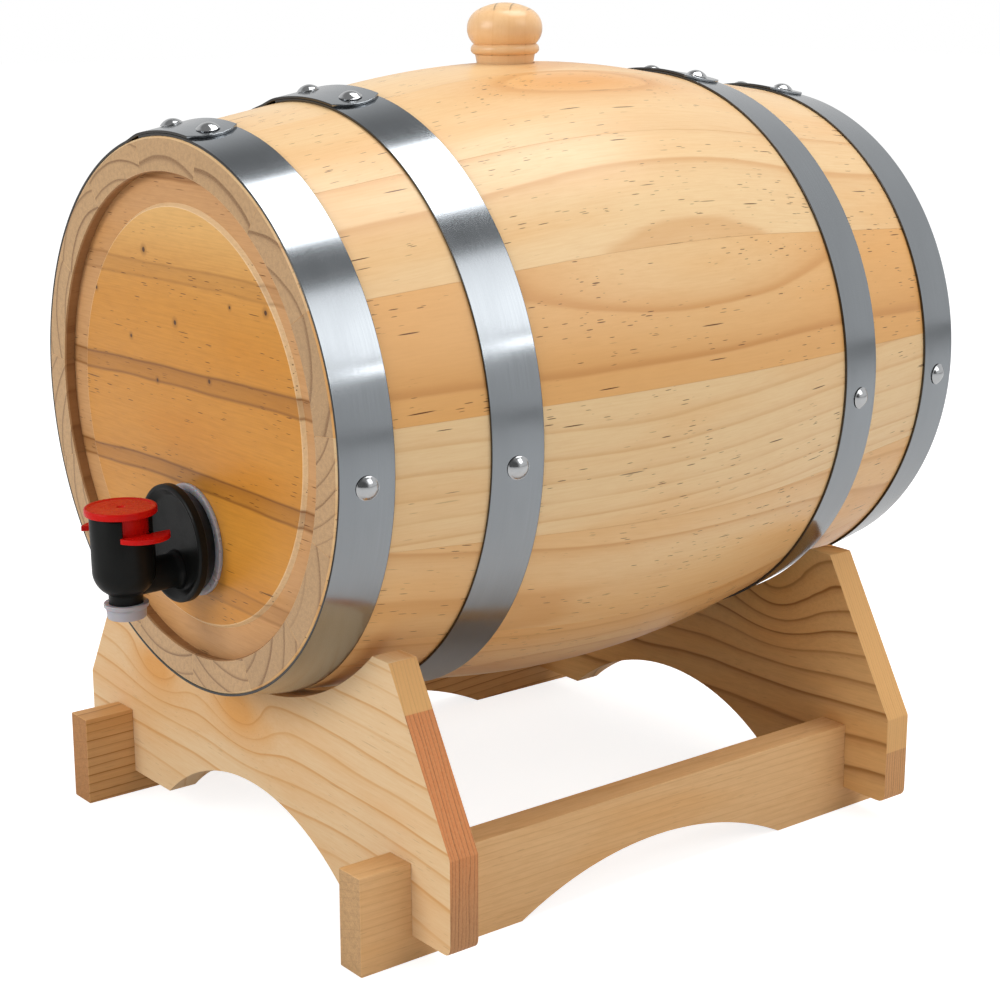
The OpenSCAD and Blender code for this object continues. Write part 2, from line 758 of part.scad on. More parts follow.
// Outline of a rail seen from +X: the two notches that hold the boards, and its arch.
module rail_outline() {
    under_r = arch_r(rail_arch_half, rail_arch_h);
    difference() {
        translate([rail_mid_y - rail_len / 2, 0]) square([rail_len, rail_h]);
        for (y = [front_out_y, rear_in_y])
            translate([y, lap_h]) square([board_t, rail_h]);
        translate([rail_mid_y, rail_arch_h - under_r]) circle(r = under_r, $fn = arc_fn);
    }
}

module rail_at(x) {
    translate([x, cask_y, 0]) rotate([90, 0, 90]) linear_extrude(rail_t) rail_outline();
}

module left_rail() { color(stand_pine) rail_at(-rail_out); }
module right_rail() { color(stand_pine) rail_at(rail_in); }

bung_stave();
for (k = [1 : stave_count - 1])
    stave(k);
front_head();
rear_head();
front_head_hoop();
front_quarter_hoop();
rear_quarter_hoop();
rear_head_hoop();
lap_rivets();
hoop_nails();
bung();
filler_collar();
inner_tank();
tank_gland();
gland_collar();
tap_body();
spout_ring();
tap_key();
valve_stem();
valve_seal();
front_cradle_board();
rear_cradle_board();
left_rail();
right_rail();
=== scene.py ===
# %% [markdown]
# # A small pine cask with a tap, on its stand
#
# The cask is fifteen bent staves held by four steel hoops. It lies nose down on two
# cradle boards that are lapped over two rails. This lesson builds what the eye sees of it
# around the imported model, which fixes every size and every moving part.
#
# Everything is drawn in millimetres, because a cooper's sizes are whole millimetres, and
# each finished piece is then laid in its place in metres.

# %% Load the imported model
import math
import bpy
from mathutils import Matrix, Vector


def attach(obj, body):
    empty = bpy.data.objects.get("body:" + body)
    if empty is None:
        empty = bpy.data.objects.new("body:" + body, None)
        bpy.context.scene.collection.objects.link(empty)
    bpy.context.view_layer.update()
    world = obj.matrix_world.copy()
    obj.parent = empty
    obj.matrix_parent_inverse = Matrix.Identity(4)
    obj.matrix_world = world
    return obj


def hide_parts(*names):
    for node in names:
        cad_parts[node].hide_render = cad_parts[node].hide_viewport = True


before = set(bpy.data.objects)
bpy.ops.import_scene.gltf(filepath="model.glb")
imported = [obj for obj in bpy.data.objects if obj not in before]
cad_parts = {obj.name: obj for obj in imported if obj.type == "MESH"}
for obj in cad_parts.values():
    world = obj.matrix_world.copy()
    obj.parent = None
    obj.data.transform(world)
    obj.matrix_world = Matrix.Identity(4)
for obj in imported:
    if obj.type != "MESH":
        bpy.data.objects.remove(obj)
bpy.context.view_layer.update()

# %% [markdown]
# ## Where the cask lies
#
# The cask has its own frame: its axis is Y, its middle is 0 and the tap points to -Y.
# Its two hollows in the boards are not quite equal, so it lies with the tap a degree low.
# One matrix takes a piece from that frame to the room, and another is for the stand.

# %% The two placing matrices
CASK_Y = 17.986
AXIS_H = 179.363
TILT = 0.981
to_metres = Matrix.Scale(0.001, 4)
on_stand = to_metres @ Matrix.Translation((0, CASK_Y, 0))
on_cask = to_metres @ Matrix.Translation((0, CASK_Y, AXIS_H)) @ Matrix.Rotation(math.radians(TILT), 4, "X")
print("cask axis", [round(x, 4) for x in on_cask.translation])

# %% [markdown]
# ## Working by hand, from a script
#
# An operator acts on whatever is selected, so each step first clears the selection. These
# helpers do what a hand does: pick one piece, open it for editing, pick some of its faces.

# %% Picking pieces and faces
SHARP = math.radians(35)    # an edge that turns by more than this is a corner


def pick(piece):
    if bpy.context.object and bpy.context.object.mode != "OBJECT":
        bpy.ops.object.mode_set(mode="OBJECT")
    bpy.ops.object.select_all(action="DESELECT")
    if piece:
        piece.select_set(True)
        bpy.context.view_layer.objects.active = piece


def open_up(piece):
    pick(piece)
    bpy.ops.object.mode_set(mode="EDIT")
    bpy.ops.mesh.select_all(action="SELECT")


def close_up():
    bpy.ops.object.mode_set(mode="OBJECT")
    return bpy.context.object


def smooth(piece):
    pick(piece)
    bpy.ops.object.shade_smooth_by_angle(angle=SHARP)


def eased(piece, width, segments=3):
    """Rounds the sharp edges over, as sandpaper or a mould does."""
    smooth(piece)
    bevel = piece.modifiers.new("eased edges", "BEVEL")
    bevel.width = width
    bevel.segments = segments
    bevel.limit_method = "ANGLE"
    bevel.angle_limit = SHARP
    bevel.harden_normals = True
    bpy.ops.object.modifier_apply(modifier=bevel.name)
    return piece


def carve(piece, cutter):
    """Cuts one piece with another and throws the cutter away."""
    pick(piece)
    cut = piece.modifiers.new("cut", "BOOLEAN")
    cut.operation = "DIFFERENCE"
    cut.object = cutter
    cut.solver = "EXACT"
    bpy.ops.object.modifier_apply(modifier=cut.name)
    bpy.data.objects.remove(cutter)


def wear(piece, *materials):
    """Gives a piece its materials, in the order of its face indices."""
    piece.data.materials.clear()
    for material in materials:
        piece.data.materials.append(material)


def twin(piece, name, place=None):
    """A copy with a mesh of its own."""
    copy = piece.copy()
    copy.data = piece.data.copy()
    copy.name = copy.data.name = name
    bpy.context.scene.collection.objects.link(copy)
    if place is not None:
        copy.data.transform(place)
    return copy


def joined(name, *pieces):
    pick(pieces[0])
    for other in pieces[1:]:
        other.select_set(True)
    bpy.ops.object.join()
    pieces[0].name = pieces[0].data.name = name
    return pieces[0]


# %% [markdown]
# ## Two ways to make most pieces
#
# Nearly all of this object is either turned on a lathe or sawn from a board. A turned
# piece is a half section spun about its axis. A sawn piece is an outline pushed out to a
# thickness. Both start as a circle whose points are pulled onto the outline, and the
# corners of the outline are rounded first, because no real corner is perfectly sharp.

# %% Outlines with softened corners
def arc(centre, radius, start, end, steps):
    """Points on an arc, with both ends, angles in degrees."""
    turns = [math.radians(start + (end - start) * i / steps) for i in range(steps + 1)]
    return [(centre[0] + radius * math.cos(t), centre[1] + radius * math.sin(t)) for t in turns]


def at_angle(radius, turn):
    """The point at a radius and an angle in degrees."""
    return radius * math.cos(math.radians(turn)), radius * math.sin(math.radians(turn))


def soften(corners, radius=0.4, steps=3):
    """Rounds each corner. A corner may carry its own radius as a third number, 0 for sharp."""
    points = []
    for i, corner in enumerate(corners):
        here = Vector(corner[:2])
        r = corner[2] if len(corner) > 2 else radius
        to_last = Vector(corners[i - 1][:2]) - here
        to_next = Vector(corners[(i + 1) % len(corners)][:2]) - here
        bend = to_last.angle(to_next)
        if r == 0 or bend > math.radians(176):
            points.append(tuple(here))
            continue
        reach = min(r / math.tan(bend / 2), 0.45 * to_last.length, 0.45 * to_next.length)
        a = here + to_last.normalized() * reach
        b = here + to_next.normalized() * reach
        for k in range(steps + 1):
            t = k / steps
            points.append(tuple(a * (1 - t) ** 2 + here * 2 * t * (1 - t) + b * t ** 2))
    return points


def outline(name, places, fill):
    pick(None)
    bpy.ops.mesh.primitive_circle_add(vertices=len(places), radius=1, fill_type=fill)
    piece = bpy.context.object
    piece.name = piece.data.name = name
    for vertex, place in zip(piece.data.vertices, places):
        vertex.co = place
    return piece


print("points in a softened square:", len(soften([(0, 0), (9, 0), (9, 9), (0, 9)])))

# %% [markdown]
# Spinning a half section is what a lathe does, and pushing an outline out is what a saw
# does. After a spin the doubled points on the axis are merged, and the normals are made
# to point outwards again.

# %% Turning and sawing
LATHE_STEPS = 96
DRILL_LEN = 60    # passes through any wall here


def turned(name, section, steps=LATHE_STEPS, turn=360, along="Z"):
    """Spins a section of (radius, height) points about Z, or about Y for the cask's own axis."""
    lathe = (0, 0, 1) if along == "Z" else (0, -1, 0)
    places = [(r, 0, h) if along == "Z" else (r, h, 0) for r, h in section]
    piece = outline(name, places, "NOTHING" if turn == 360 else "NGON")
    open_up(piece)
    bpy.ops.mesh.spin(steps=steps, angle=math.radians(turn), center=(0, 0, 0), axis=lathe)
    bpy.ops.mesh.select_all(action="SELECT")
    bpy.ops.mesh.remove_doubles(threshold=0.0005)
    bpy.ops.mesh.normals_make_consistent(inside=False)
    piece = close_up()
    smooth(piece)
    return piece


def sawn(name, shape, thickness, ease=0.9):
    """Pushes a flat outline out along +Z, then eases its edges."""
    piece = outline(name, [(x, y, 0) for x, y in shape], "NGON")
    open_up(piece)
    bpy.ops.mesh.extrude_region_move(TRANSFORM_OT_translate={"value": (0, 0, thickness)})
    bpy.ops.mesh.select_all(action="SELECT")
    bpy.ops.mesh.normals_make_consistent(inside=False)
    close_up()
    return eased(piece, ease) if ease else piece


def drilled(piece, radius, place, vertices, turn=(0, 0, 0)):
    """Cuts a round hole right through a piece, upright unless it is turned."""
    pick(None)
    bpy.ops.mesh.primitive_cylinder_add(vertices=vertices, radius=radius, depth=DRILL_LEN, location=place,
                                        rotation=turn)
    carve(piece, bpy.context.object)
    smooth(piece)


print("a full turn takes", LATHE_STEPS, "steps of", 360 / LATHE_STEPS, "degrees, unless a piece asks for others")

# %% [markdown]
# ## The stave's curve
#
# A stave is bent over its middle and nearly straight towards its ends. These few sizes
# give the radius of the wood at any distance along the cask, at any depth in the stave.

# %% The cask's profile
STAVES = 15
HALF = 150.0
BELLY_R, END_R, KNEE, STAVE_T = 118.9, 99.6, 29.1, 12.2
cone = math.atan((BELLY_R - END_R) / (HALF - KNEE))
bend_r = KNEE / math.tan(cone / 2)


def wood_r(y, depth=0.0):
    """Radius of the wood at y, some depth under its face."""
    edge = (bend_r - depth) * math.sin(cone)
    middle = BELLY_R - bend_r
    if abs(y) < edge:
        return middle + math.sqrt((bend_r - depth) ** 2 - y * y)
    return middle + (bend_r - depth) * math.cos(cone) - (abs(y) - edge) * math.tan(cone)


print("slope of the ends", round(math.degrees(cone), 2), "degrees, end radius", round(wood_r(HALF), 2))

# %% [markdown]
# ## Wood that remembers its tree
#
# Grain is not a picture on the surface. Each board was cut from a trunk, and its lines are
# the places where the saw met the yearly rings. So every point of a board stores where it
# sat in its trunk, and the pine material draws rings there. Long lines, pointed arches and
# ring ends on the end grain then all agree, as they do on real wood. A swell in the rings
# gives the closed ovals that flat-sawn pine shows.

# %% Storing a board's place in its trunk
TRUNK_STEP = 200    # how far apart the boards lie along one endless trunk, in millimetres


def from_trunk(piece, board, pith, drift=(0, 0), swells=(), seed=0, ring=5.0, strength=0.8, tone=0.0):
    """board(point) gives (along, across, depth). pith is where the trunk's middle lies from
    the board's middle, across and in depth, and drift is how it wanders along the board.
    A swell is (along, across, length, width, height) and shows paler wood inside its oval, or
    redder wood where its height is negative. ring is the width of one year's growth."""
    piece.data.attributes.new("in_trunk", "FLOAT_VECTOR", "POINT")
    piece.data.attributes.new("board", "FLOAT_VECTOR", "POINT")
    spots, kinds = piece.data.attributes["in_trunk"], piece.data.attributes["board"]
    for vertex, spot, kind in zip(piece.data.vertices, spots.data, kinds.data):
        along, across, depth = board(vertex.co)
        swell = sum(h * math.exp(-((along - at) / long) ** 2 - ((across - side) / wide) ** 2)
                    for at, side, long, wide, h in swells)
        spot.vector = (along + TRUNK_STEP * seed,
                       across - pith[0] - drift[0] * along,
                       depth - pith[1] - drift[1] * along + swell)
        kind.vector = (tone - (0.05 if swell > 0 else 0.08) * swell, strength, ring)


def as_drawn(point):
    """A board that is drawn flat lies in its trunk by its own x, y and z."""
    return point.x, point.y, point.z


print("boards lie", TRUNK_STEP, "mm apart along the trunk")

# %% [markdown]
# ## Small bricks for materials
#
# A material is a graph of nodes. These helpers add one node each and link or set its
# inputs, so that a finish further down reads like a recipe.

# %% Node helpers
def finish_of(name, **values):
    """A new material and its shader, with the values that are the same all over."""
    material = bpy.data.materials.new(name)
    material.use_nodes = True
    shader = material.node_tree.nodes["Principled BSDF"]
    for key, value in values.items():
        shader.inputs[key.replace("_", " ")].default_value = value
    return material, material.node_tree, shader


def brick(tree, kind, *inputs, **settings):
    """A node whose inputs are linked or set in order; None leaves one as it is."""
    made = tree.nodes.new("ShaderNode" + kind)
    for key, value in settings.items():
        setattr(made, key, value)
    for socket, value in zip(made.inputs, inputs):
        if isinstance(value, bpy.types.NodeSocket):
            tree.links.new(value, socket)
        elif value is not None:
            socket.default_value = value
    return made.outputs[0]


def calc(tree, how, a, b=0.0):
    return brick(tree, "Math", a, b, operation=how)


def scaled(tree, vector, scale):
    return brick(tree, "VectorMath", vector, scale, operation="MULTIPLY")


def cloud(tree, vector, scale=1.0, detail=2.0, rough=0.5):
    """Soft noise between 0 and 1."""
    made = tree.nodes.new("ShaderNodeTexNoise")
    tree.links.new(vector, made.inputs["Vector"])
    made.inputs["Scale"].default_value = scale
    made.inputs["Detail"].default_value = detail
    made.inputs["Roughness"].default_value = rough
    return made.outputs[0]


def spread(tree, value, low, high, to_low=0.0, to_high=1.0, soft=True):
    """Maps low..high to to_low..to_high and clips what lies outside."""
    return brick(tree, "MapRange", value, low, high, to_low, to_high,
                 interpolation_type="SMOOTHSTEP" if soft else "LINEAR")


def tint(tree, amount, a, b):
    """Mixes two colours, each a socket or a red, green and blue."""
    made = tree.nodes.new("ShaderNodeMix")
    made.data_type = "RGBA"
    for socket, value in ((made.inputs[0], amount), (made.inputs[6], a), (made.inputs[7], b)):
        if isinstance(value, bpy.types.NodeSocket):
            tree.links.new(value, socket)
        else:
            socket.default_value = value if isinstance(value, float) else (*value, 1)
    return made.outputs[2]


def stored(tree, name):
    made = tree.nodes.new("ShaderNodeAttribute")
    made.attribute_name = name
    return made.outputs["Vector"]


def number(tree, vector, which):
    """One of the three numbers of a vector."""
    made = tree.nodes.new("ShaderNodeSeparateXYZ")
    tree.links.new(vector, made.inputs[0])
    return made.outputs[which]


def measure(tree, how, a, b=None):
    """One number from vectors: LENGTH, DISTANCE or DOT_PRODUCT."""
    made = tree.nodes.new("ShaderNodeVectorMath")
    made.operation = how
    tree.links.new(a, made.inputs[0])
    if b is not None:
        made.inputs[1].default_value = b
    return made.outputs["Value"]


def ramp(tree, value, stops):
    """A curve through (place, height) stops."""
    made = tree.nodes.new("ShaderNodeValToRGB")
    tree.links.new(value, made.inputs[0])
    points = made.color_ramp.elements
    while len(points) < len(stops):
        points.new(0.5)
    for point, (place, height) in zip(points, stops):
        point.position = place
        point.color = (height, height, height, 1)
    return calc(tree, "MULTIPLY", made.outputs[0], 1.0)


def flecks(tree, spot, long, wide, kept, size):
    """Short dashes along the grain, 1 inside a dash and 0 outside."""
    cell = tree.nodes.new("ShaderNodeTexVoronoi")
    tree.links.new(scaled(tree, spot, (1 / long, 1 / wide, 1 / wide)), cell.inputs["Vector"])
    cell.inputs["Scale"].default_value = 1.0
    luck = number(tree, cell.outputs["Color"], 0)
    girth = calc(tree, "ADD", number(tree, cell.outputs["Color"], 1), 0.45)
    reach = calc(tree, "DIVIDE", cell.outputs["Distance"], girth)
    return calc(tree, "MULTIPLY", spread(tree, reach, size * 0.65, size, 1.0, 0.0),
                spread(tree, luck, kept, kept + 0.02, 1.0, 0.0))


def relief(tree, shader, height, depth, strength):
    """Bumps the surface by a height field, depth in metres."""
    bump = tree.nodes.new("ShaderNodeBump")
    bump.inputs["Strength"].default_value = strength
    bump.inputs["Distance"].default_value = depth
    tree.links.new(height, bump.inputs["Height"])
    tree.links.new(bump.outputs[0], shader.inputs["Normal"])


def dimmed(colour, by):
    return tuple(min(1, by * c) for c in colour)


print("brown halved:", dimmed((0.5, 0.3, 0.1), 0.5))

# %% [markdown]
# ## Pine
#
# Pine darkens slowly through each yearly ring, ends in a thin orange-brown line and starts
# pale again. The rings are never perfect circles, so slow noise pushes them about. Short
# dark dashes along the grain are cut resin ducts. Under varnish the colour is warm, and
# where the saw crossed the fibres the end grain drinks more of it and goes darker.
#
# One recipe makes the staves, the heads, the bung and the stand, with other colours. How
# dark a year runs is a curve, and the board itself says how wide and how strong its rings
# are, because no two boards of this cask match.

# %% How dark a year runs, from its first day to its last
BROAD_YEAR = [(0, 0.06), (0.06, 0), (0.55, 0.05), (0.80, 0.35), (0.90, 0.95), (0.94, 1.0), (0.985, 0.12)]
THIN_YEAR = [(0, 0), (0.60, 0.04), (0.83, 0.30), (0.91, 1.0), (0.95, 0.95), (0.985, 0.0)]
DOUBLE_YEAR = [(0, 0.10), (0.30, 0.0), (0.775, 0.06), (0.80, 0.85), (0.825, 0.35), (0.90, 0.42),
               (0.945, 0.55), (0.96, 1.0), (0.985, 0.15), (1, 0.10)]
print("stops in a year:", len(BROAD_YEAR), len(THIN_YEAR), len(DOUBLE_YEAR))


# %% [markdown]
# The recipe goes from the tree to the finish: push the rings about, draw the years, lay
# patches, fibres, dashes and knots over the pale wood, and let the end grain take over
# where the fibres meet the surface.

# %% The pine recipe
def late_wood(tree, depth, width, year, faintest):
    """The dark line at the end of each year, in some years fainter than in others."""
    years = calc(tree, "DIVIDE", depth, width)
    late = ramp(tree, calc(tree, "FRACT", years), year)
    luck = brick(tree, "TexWhiteNoise", None, calc(tree, "FLOOR", years), noise_dimensions="1D")
    return calc(tree, "MULTIPLY", late, spread(tree, luck, 0.0, 1.0, faintest, 1.0, False))


def pine(name, pale, line, glow, year=BROAD_YEAR, wander=1.1, ripples=0.4, ducts=1.0, end_axis=(0, 1, 0),
         end_colour=(0.50, 0.31, 0.155), end_rings=0.9, gloss=0.42, coat=0.22, knots=(), sap=None, swells=()):
    """pale, line and glow colour the wood, its yearly line and its redder patches. wander
    and ripples push the rings about, in millimetres. end_axis is the way the fibres run."""
    material, tree, shader = finish_of(name, Specular_IOR_Level=0.14, Coat_Weight=coat, Coat_Roughness=0.28)
    spot = stored(tree, "in_trunk")
    kind = stored(tree, "board")
    tone = number(tree, kind, 0)
    for x, y, long, wide, height, redder in swells:
        away = brick(tree, "VectorMath", scaled(tree, spot, (1 / long, 1 / wide, 0)),
                     (x / long, y / wide, 0), operation="SUBTRACT")
        away = calc(tree, "POWER", measure(tree, "LENGTH", away), 2.0)
        bell = calc(tree, "EXPONENT", calc(tree, "MULTIPLY", away, -1.0))
        tone = calc(tree, "ADD", tone, calc(tree, "MULTIPLY", bell, redder))
        up = brick(tree, "CombineXYZ", None, None, calc(tree, "MULTIPLY", bell, height))
        spot = brick(tree, "VectorMath", spot, up, operation="ADD")

    def noise(along, across, detail, rough):
        return cloud(tree, scaled(tree, spot, (along, across, across)), 1.0, detail, rough)

    def fade(value, low, high, most, soft=True):
        return spread(tree, value, low, high, 0.0, most, soft)

    around = measure(tree, "LENGTH", scaled(tree, spot, (0, 1, 1)))
    for push, reach in ((noise(0.007, 0.018, 2.0, 0.45), 2 * wander), (noise(0.022, 0.09, 2.0, 0.5), ripples)):
        around = calc(tree, "ADD", around, spread(tree, push, 0, 1, -reach, reach, False))
    late = late_wood(tree, around, number(tree, kind, 2), year, 0.45)
    fibre = noise(0.045, 1.5, 3.0, 0.6)
    mist = noise(0.12, 0.6, 3.0, 0.6)

    colour = tint(tree, fade(noise(0.010, 0.045, 2.0, 0.5), 0.42, 0.75, 0.35), pale, glow)
    if sap:
        colour = tint(tree, spread(tree, number(tree, spot, 1), *sap[0]), colour, sap[1])
    dashes = calc(tree, "MULTIPLY", flecks(tree, spot, 8.5, 0.70, 0.52, 0.20),
                  spread(tree, noise(0.018, 0.07, 1.0, 0.5), 0.42, 0.56))
    dashes = calc(tree, "MAXIMUM", dashes, flecks(tree, spot, 24.0, 1.1, 0.08, 0.20))
    dashes = calc(tree, "MULTIPLY", dashes, ducts)
    for amount, other in ((fade(tone, 0.0, 1.0, 0.9, False), glow),
                          (fade(tone, 0.0, -1.0, 0.6, False), dimmed(pale, 1.22)),
                          (calc(tree, "MULTIPLY", late, number(tree, kind, 1)), line),
                          (fade(fibre, 0.3, 0.8, 0.15), line),
                          (fade(mist, 0.35, 0.75, 0.10), line),
                          (calc(tree, "MULTIPLY", dashes, 0.95), (0.10, 0.028, 0.003))):
        colour = tint(tree, amount, colour, other)
    for x, y, size in knots:
        away = measure(tree, "DISTANCE", scaled(tree, spot, (1, 1, 0)), (x, y, 0))
        colour = tint(tree, spread(tree, away, size, size * 3.2, 0.45, 0.0), colour, line)
        colour = tint(tree, spread(tree, away, size * 0.7, size * 1.2, 1.0, 0.0), colour, (0.09, 0.035, 0.012))

    normal = tree.nodes.new("ShaderNodeNewGeometry").outputs["Normal"]
    across = spread(tree, calc(tree, "ABSOLUTE", measure(tree, "DOT_PRODUCT", normal, end_axis)), 0.80, 0.93)
    ends = end_colour
    for amount, other in ((fade(tone, -0.3, 0.8, 0.35, False), dimmed(end_colour, 0.5)),
                          (spread(tree, late, 0.1, 0.9, 0.0, end_rings), (0.15, 0.065, 0.022)),
                          (fade(noise(0.02, 2.2, 3.0, 0.7), 0.35, 0.7, 0.35), dimmed(end_colour, 1.5)),
                          (fade(mist, 0.35, 0.75, 0.4), dimmed(end_colour, 0.6))):
        ends = tint(tree, amount, ends, other)
    colour = tint(tree, across, colour, ends)
    tree.links.new(colour, shader.inputs["Base Color"])
    rough = calc(tree, "ADD", spread(tree, fibre, 0.2, 0.8, gloss - 0.06, gloss + 0.1),
                 calc(tree, "MULTIPLY", across, 0.2))
    tree.links.new(rough, shader.inputs["Roughness"])
    height = calc(tree, "ADD", calc(tree, "MULTIPLY", late, 0.4), calc(tree, "MULTIPLY", fibre, 0.5))
    relief(tree, shader, calc(tree, "SUBTRACT", height, calc(tree, "MULTIPLY", dashes, 0.4)), 0.0001, 0.6)
    return material


stave_pine = pine("varnished stave pine", pale=(0.82, 0.585, 0.315), line=(0.60, 0.28, 0.085),
                  glow=(0.75, 0.35, 0.085), coat=0.45)
# The inner faces of the staves show only on the wall of the recess in front of each head. Their dark brown pine is
# painted shade in that recess.
recess_shade_pine = pine("painted recess shade pine", pale=(0.36, 0.19, 0.080), line=(0.16, 0.07, 0.025),
                    glow=(0.30, 0.14, 0.05), end_colour=(0.26, 0.13, 0.055), ducts=0.3, gloss=0.5,
                    coat=0.1)
print("stave materials:", stave_pine.name, "and", recess_shade_pine.name)

# %% [markdown]
# The front head is one broad board in honey-coloured varnish. It was cut flat from the
# tree, so its years are far apart and show as brown double bands. It has eight pin knots,
# each the foot of a twig, and the top of the board is paler sapwood.

# %% Head and bung pine
HEAD_SEED, HEAD_PITH = 21, -129.9
PIN_KNOTS = [(-25, 58, 1.0), (-63, 40, 0.7), (33, 44, 0.6), (56, 45, 0.9),
             (-5, 34, 0.9), (-38, 25, 0.7), (-20, 11, 0.7), (17, 16, 0.8)]
knots = [(x + TRUNK_STEP * HEAD_SEED, z - HEAD_PITH, size) for x, z, size in PIN_KNOTS]
head_colours = dict(line=(0.22, 0.08, 0.016), year=DOUBLE_YEAR, wander=2.4, ripples=1.0, ducts=0.9,
                    end_axis=(1, 0, 0))
head_pine = pine("varnished head pine", pale=(0.64, 0.275, 0.040), glow=(0.60, 0.215, 0.012), gloss=0.34, coat=0.3,
                 knots=knots, sap=((165, 212), (0.78, 0.46, 0.16)), **head_colours)
rim_pine = pine("sanded head rim", pale=(0.62, 0.34, 0.15), glow=(0.62, 0.28, 0.06), gloss=0.45, coat=0.12,
                knots=knots, **head_colours)
# The bevel round the raised middle gets a paler pine: a painted highlight, so that the bevel reads as a bright line.
highlight_edge_pine = pine("painted highlight head edge", pale=(0.88, 0.60, 0.32), glow=(0.80, 0.48, 0.20), gloss=0.3, coat=0.4,
                 **head_colours)
bung_pine = pine("turned bung pine", pale=(0.84, 0.54, 0.28), line=(0.70, 0.35, 0.12),
                 glow=(0.78, 0.40, 0.14), year=THIN_YEAR, ducts=0.0, end_axis=(0, 0, 1),
                 end_colour=(0.80, 0.50, 0.25), gloss=0.28, coat=0.6)
print("pin knots on the front head:", len(knots))

# %% [markdown]
# The stand is satin pine without varnish. The rails were sawn with level years. The front
# board is pale, with thin orange lines and two orange tongues, where the saw just touched
# the swell round a branch. The rear board has broad dark loops. A board's face has points
# only along its outline, so its swells are drawn by the material and not stored in it.

# %% Stand pine
stand_colours = dict(glow=(0.70, 0.32, 0.075), ducts=0.2, gloss=0.5, coat=0.1)
rail_colours = dict(pale=(0.76, 0.48, 0.235), line=(0.40, 0.17, 0.04), year=THIN_YEAR, end_rings=0.2,
                    ripples=0.7, **stand_colours)
right_pine = pine("satin right rail pine", end_colour=(0.54, 0.33, 0.16), **rail_colours)
left_pine = pine("satin left rail pine", end_colour=(0.46, 0.22, 0.085), **rail_colours)
board_colours = dict(end_axis=(0, 0, 0), wander=2.4, ripples=0.8, **stand_colours)
FRONT_SWELLS = [(-8, 60, 21, 13, -20, 1.3), (-70, 60, 20, 11, -18, 1.3), (75, 30, 40, 20, 4, 0.0)]
REAR_SWELLS = [(62, 86, 26, 22, -30, 0.5), (-60, 60, 50, 24, 8, -0.2), (20, 40, 50, 20, 5, 0.0)]
FRONT_SEED, FRONT_PITH, FRONT_DRIFT = 41, (-40, 90), (-0.04, 0.0)
REAR_SEED, REAR_PITH, REAR_DRIFT = 42, (-30, 75), (0.05, 0.0)


def seen_from_trunk(swells, seed, pith, drift):
    """The same swells, in the coordinates that the board stores."""
    return [(x + TRUNK_STEP * seed, y - pith[0] - drift[0] * x, *rest) for x, y, *rest in swells]


front_pine = pine("satin front board pine", pale=(0.76, 0.545, 0.315), line=(0.60, 0.27, 0.065), year=THIN_YEAR,
                  swells=seen_from_trunk(FRONT_SWELLS, FRONT_SEED, FRONT_PITH, FRONT_DRIFT), **board_colours)
rear_pine = pine("satin rear board pine", pale=(0.72, 0.44, 0.19), line=(0.30, 0.13, 0.035), year=BROAD_YEAR,
                 swells=seen_from_trunk(REAR_SWELLS, REAR_SEED, REAR_PITH, REAR_DRIFT), **board_colours)
print("pine materials made:", sum("pine" in m.name or "rim" in m.name for m in bpy.data.materials))

# %% [markdown]
# The cradle boards are each glued from two planks, and their cut ends show it: one plank
# is golden with fine rings, and the other is redder with dark rings. Flat-sawn planks have
# their rings running level with their faces, so on the end they are lines down its length.

# %% The cut ends of the boards
def plank_end(name, high, low, split, pitch):
    """split is the height of the glue line, in the across coordinate of the board."""
    material, tree, shader = finish_of(name, Specular_IOR_Level=0.15, Coat_Weight=0.1, Coat_Roughness=0.25)
    spot = stored(tree, "in_trunk")
    weave = cloud(tree, scaled(tree, spot, (0, 0.035, 0.3)), 1.0, 2.0, 0.5)
    bow = calc(tree, "POWER", calc(tree, "MULTIPLY", number(tree, spot, 1), 0.012), 2.0)
    depth = calc(tree, "ADD", number(tree, spot, 2), bow)
    depth = calc(tree, "ADD", depth, spread(tree, weave, 0, 1, -1.1, 1.1, False))
    late = late_wood(tree, depth, pitch, BROAD_YEAR, 0.5)
    lower = spread(tree, number(tree, spot, 1), split - 0.25, split + 0.25, 1.0, 0.0)
    pores = cloud(tree, scaled(tree, spot, (0.02, 1.1, 2.6)), 1.0, 3.0, 0.7)
    browner = spread(tree, number(tree, spot, 1), split - 30, split - 75, 0.0, 0.75)
    upper_colour = tint(tree, calc(tree, "MULTIPLY", late, 0.38), high, dimmed(high, 0.45))
    lower_base = tint(tree, browner, low, (0.42, 0.23, 0.11))
    lower_colour = tint(tree, calc(tree, "MULTIPLY", late, 0.88), lower_base, dimmed(low, 0.24))
    colour = tint(tree, lower, upper_colour, lower_colour)
    colour = tint(tree, spread(tree, pores, 0.35, 0.7, 0.0, 0.25), colour, (0.76, 0.44, 0.20))
    tree.links.new(colour, shader.inputs["Base Color"])
    tree.links.new(spread(tree, pores, 0.3, 0.7, 0.48, 0.64), shader.inputs["Roughness"])
    relief(tree, shader, calc(tree, "SUBTRACT", pores, late), 0.00014, 0.6)
    return material


FRONT_END = plank_end("front board ends", (0.74, 0.41, 0.15), (0.66, 0.235, 0.08), 92.6 + 40, 1.55)
REAR_END = plank_end("rear board ends", (0.72, 0.40, 0.15), (0.60, 0.30, 0.12), 24 + 30, 1.3)
print("plank ends made:", FRONT_END.name, "and", REAR_END.name)

# %% [markdown]
# ## The staves
#
# A stave is tapered towards both ends, wider at the belly, and bevelled so that fifteen of
# them close into a barrel. Spinning the section of the wall through a fifteenth of a turn
# gives exactly that shape. The groove that holds the heads is part of the section. The
# meeting edges are only just eased, because a joint on the real cask is hardly a line, and
# shows mostly as a change of tone.

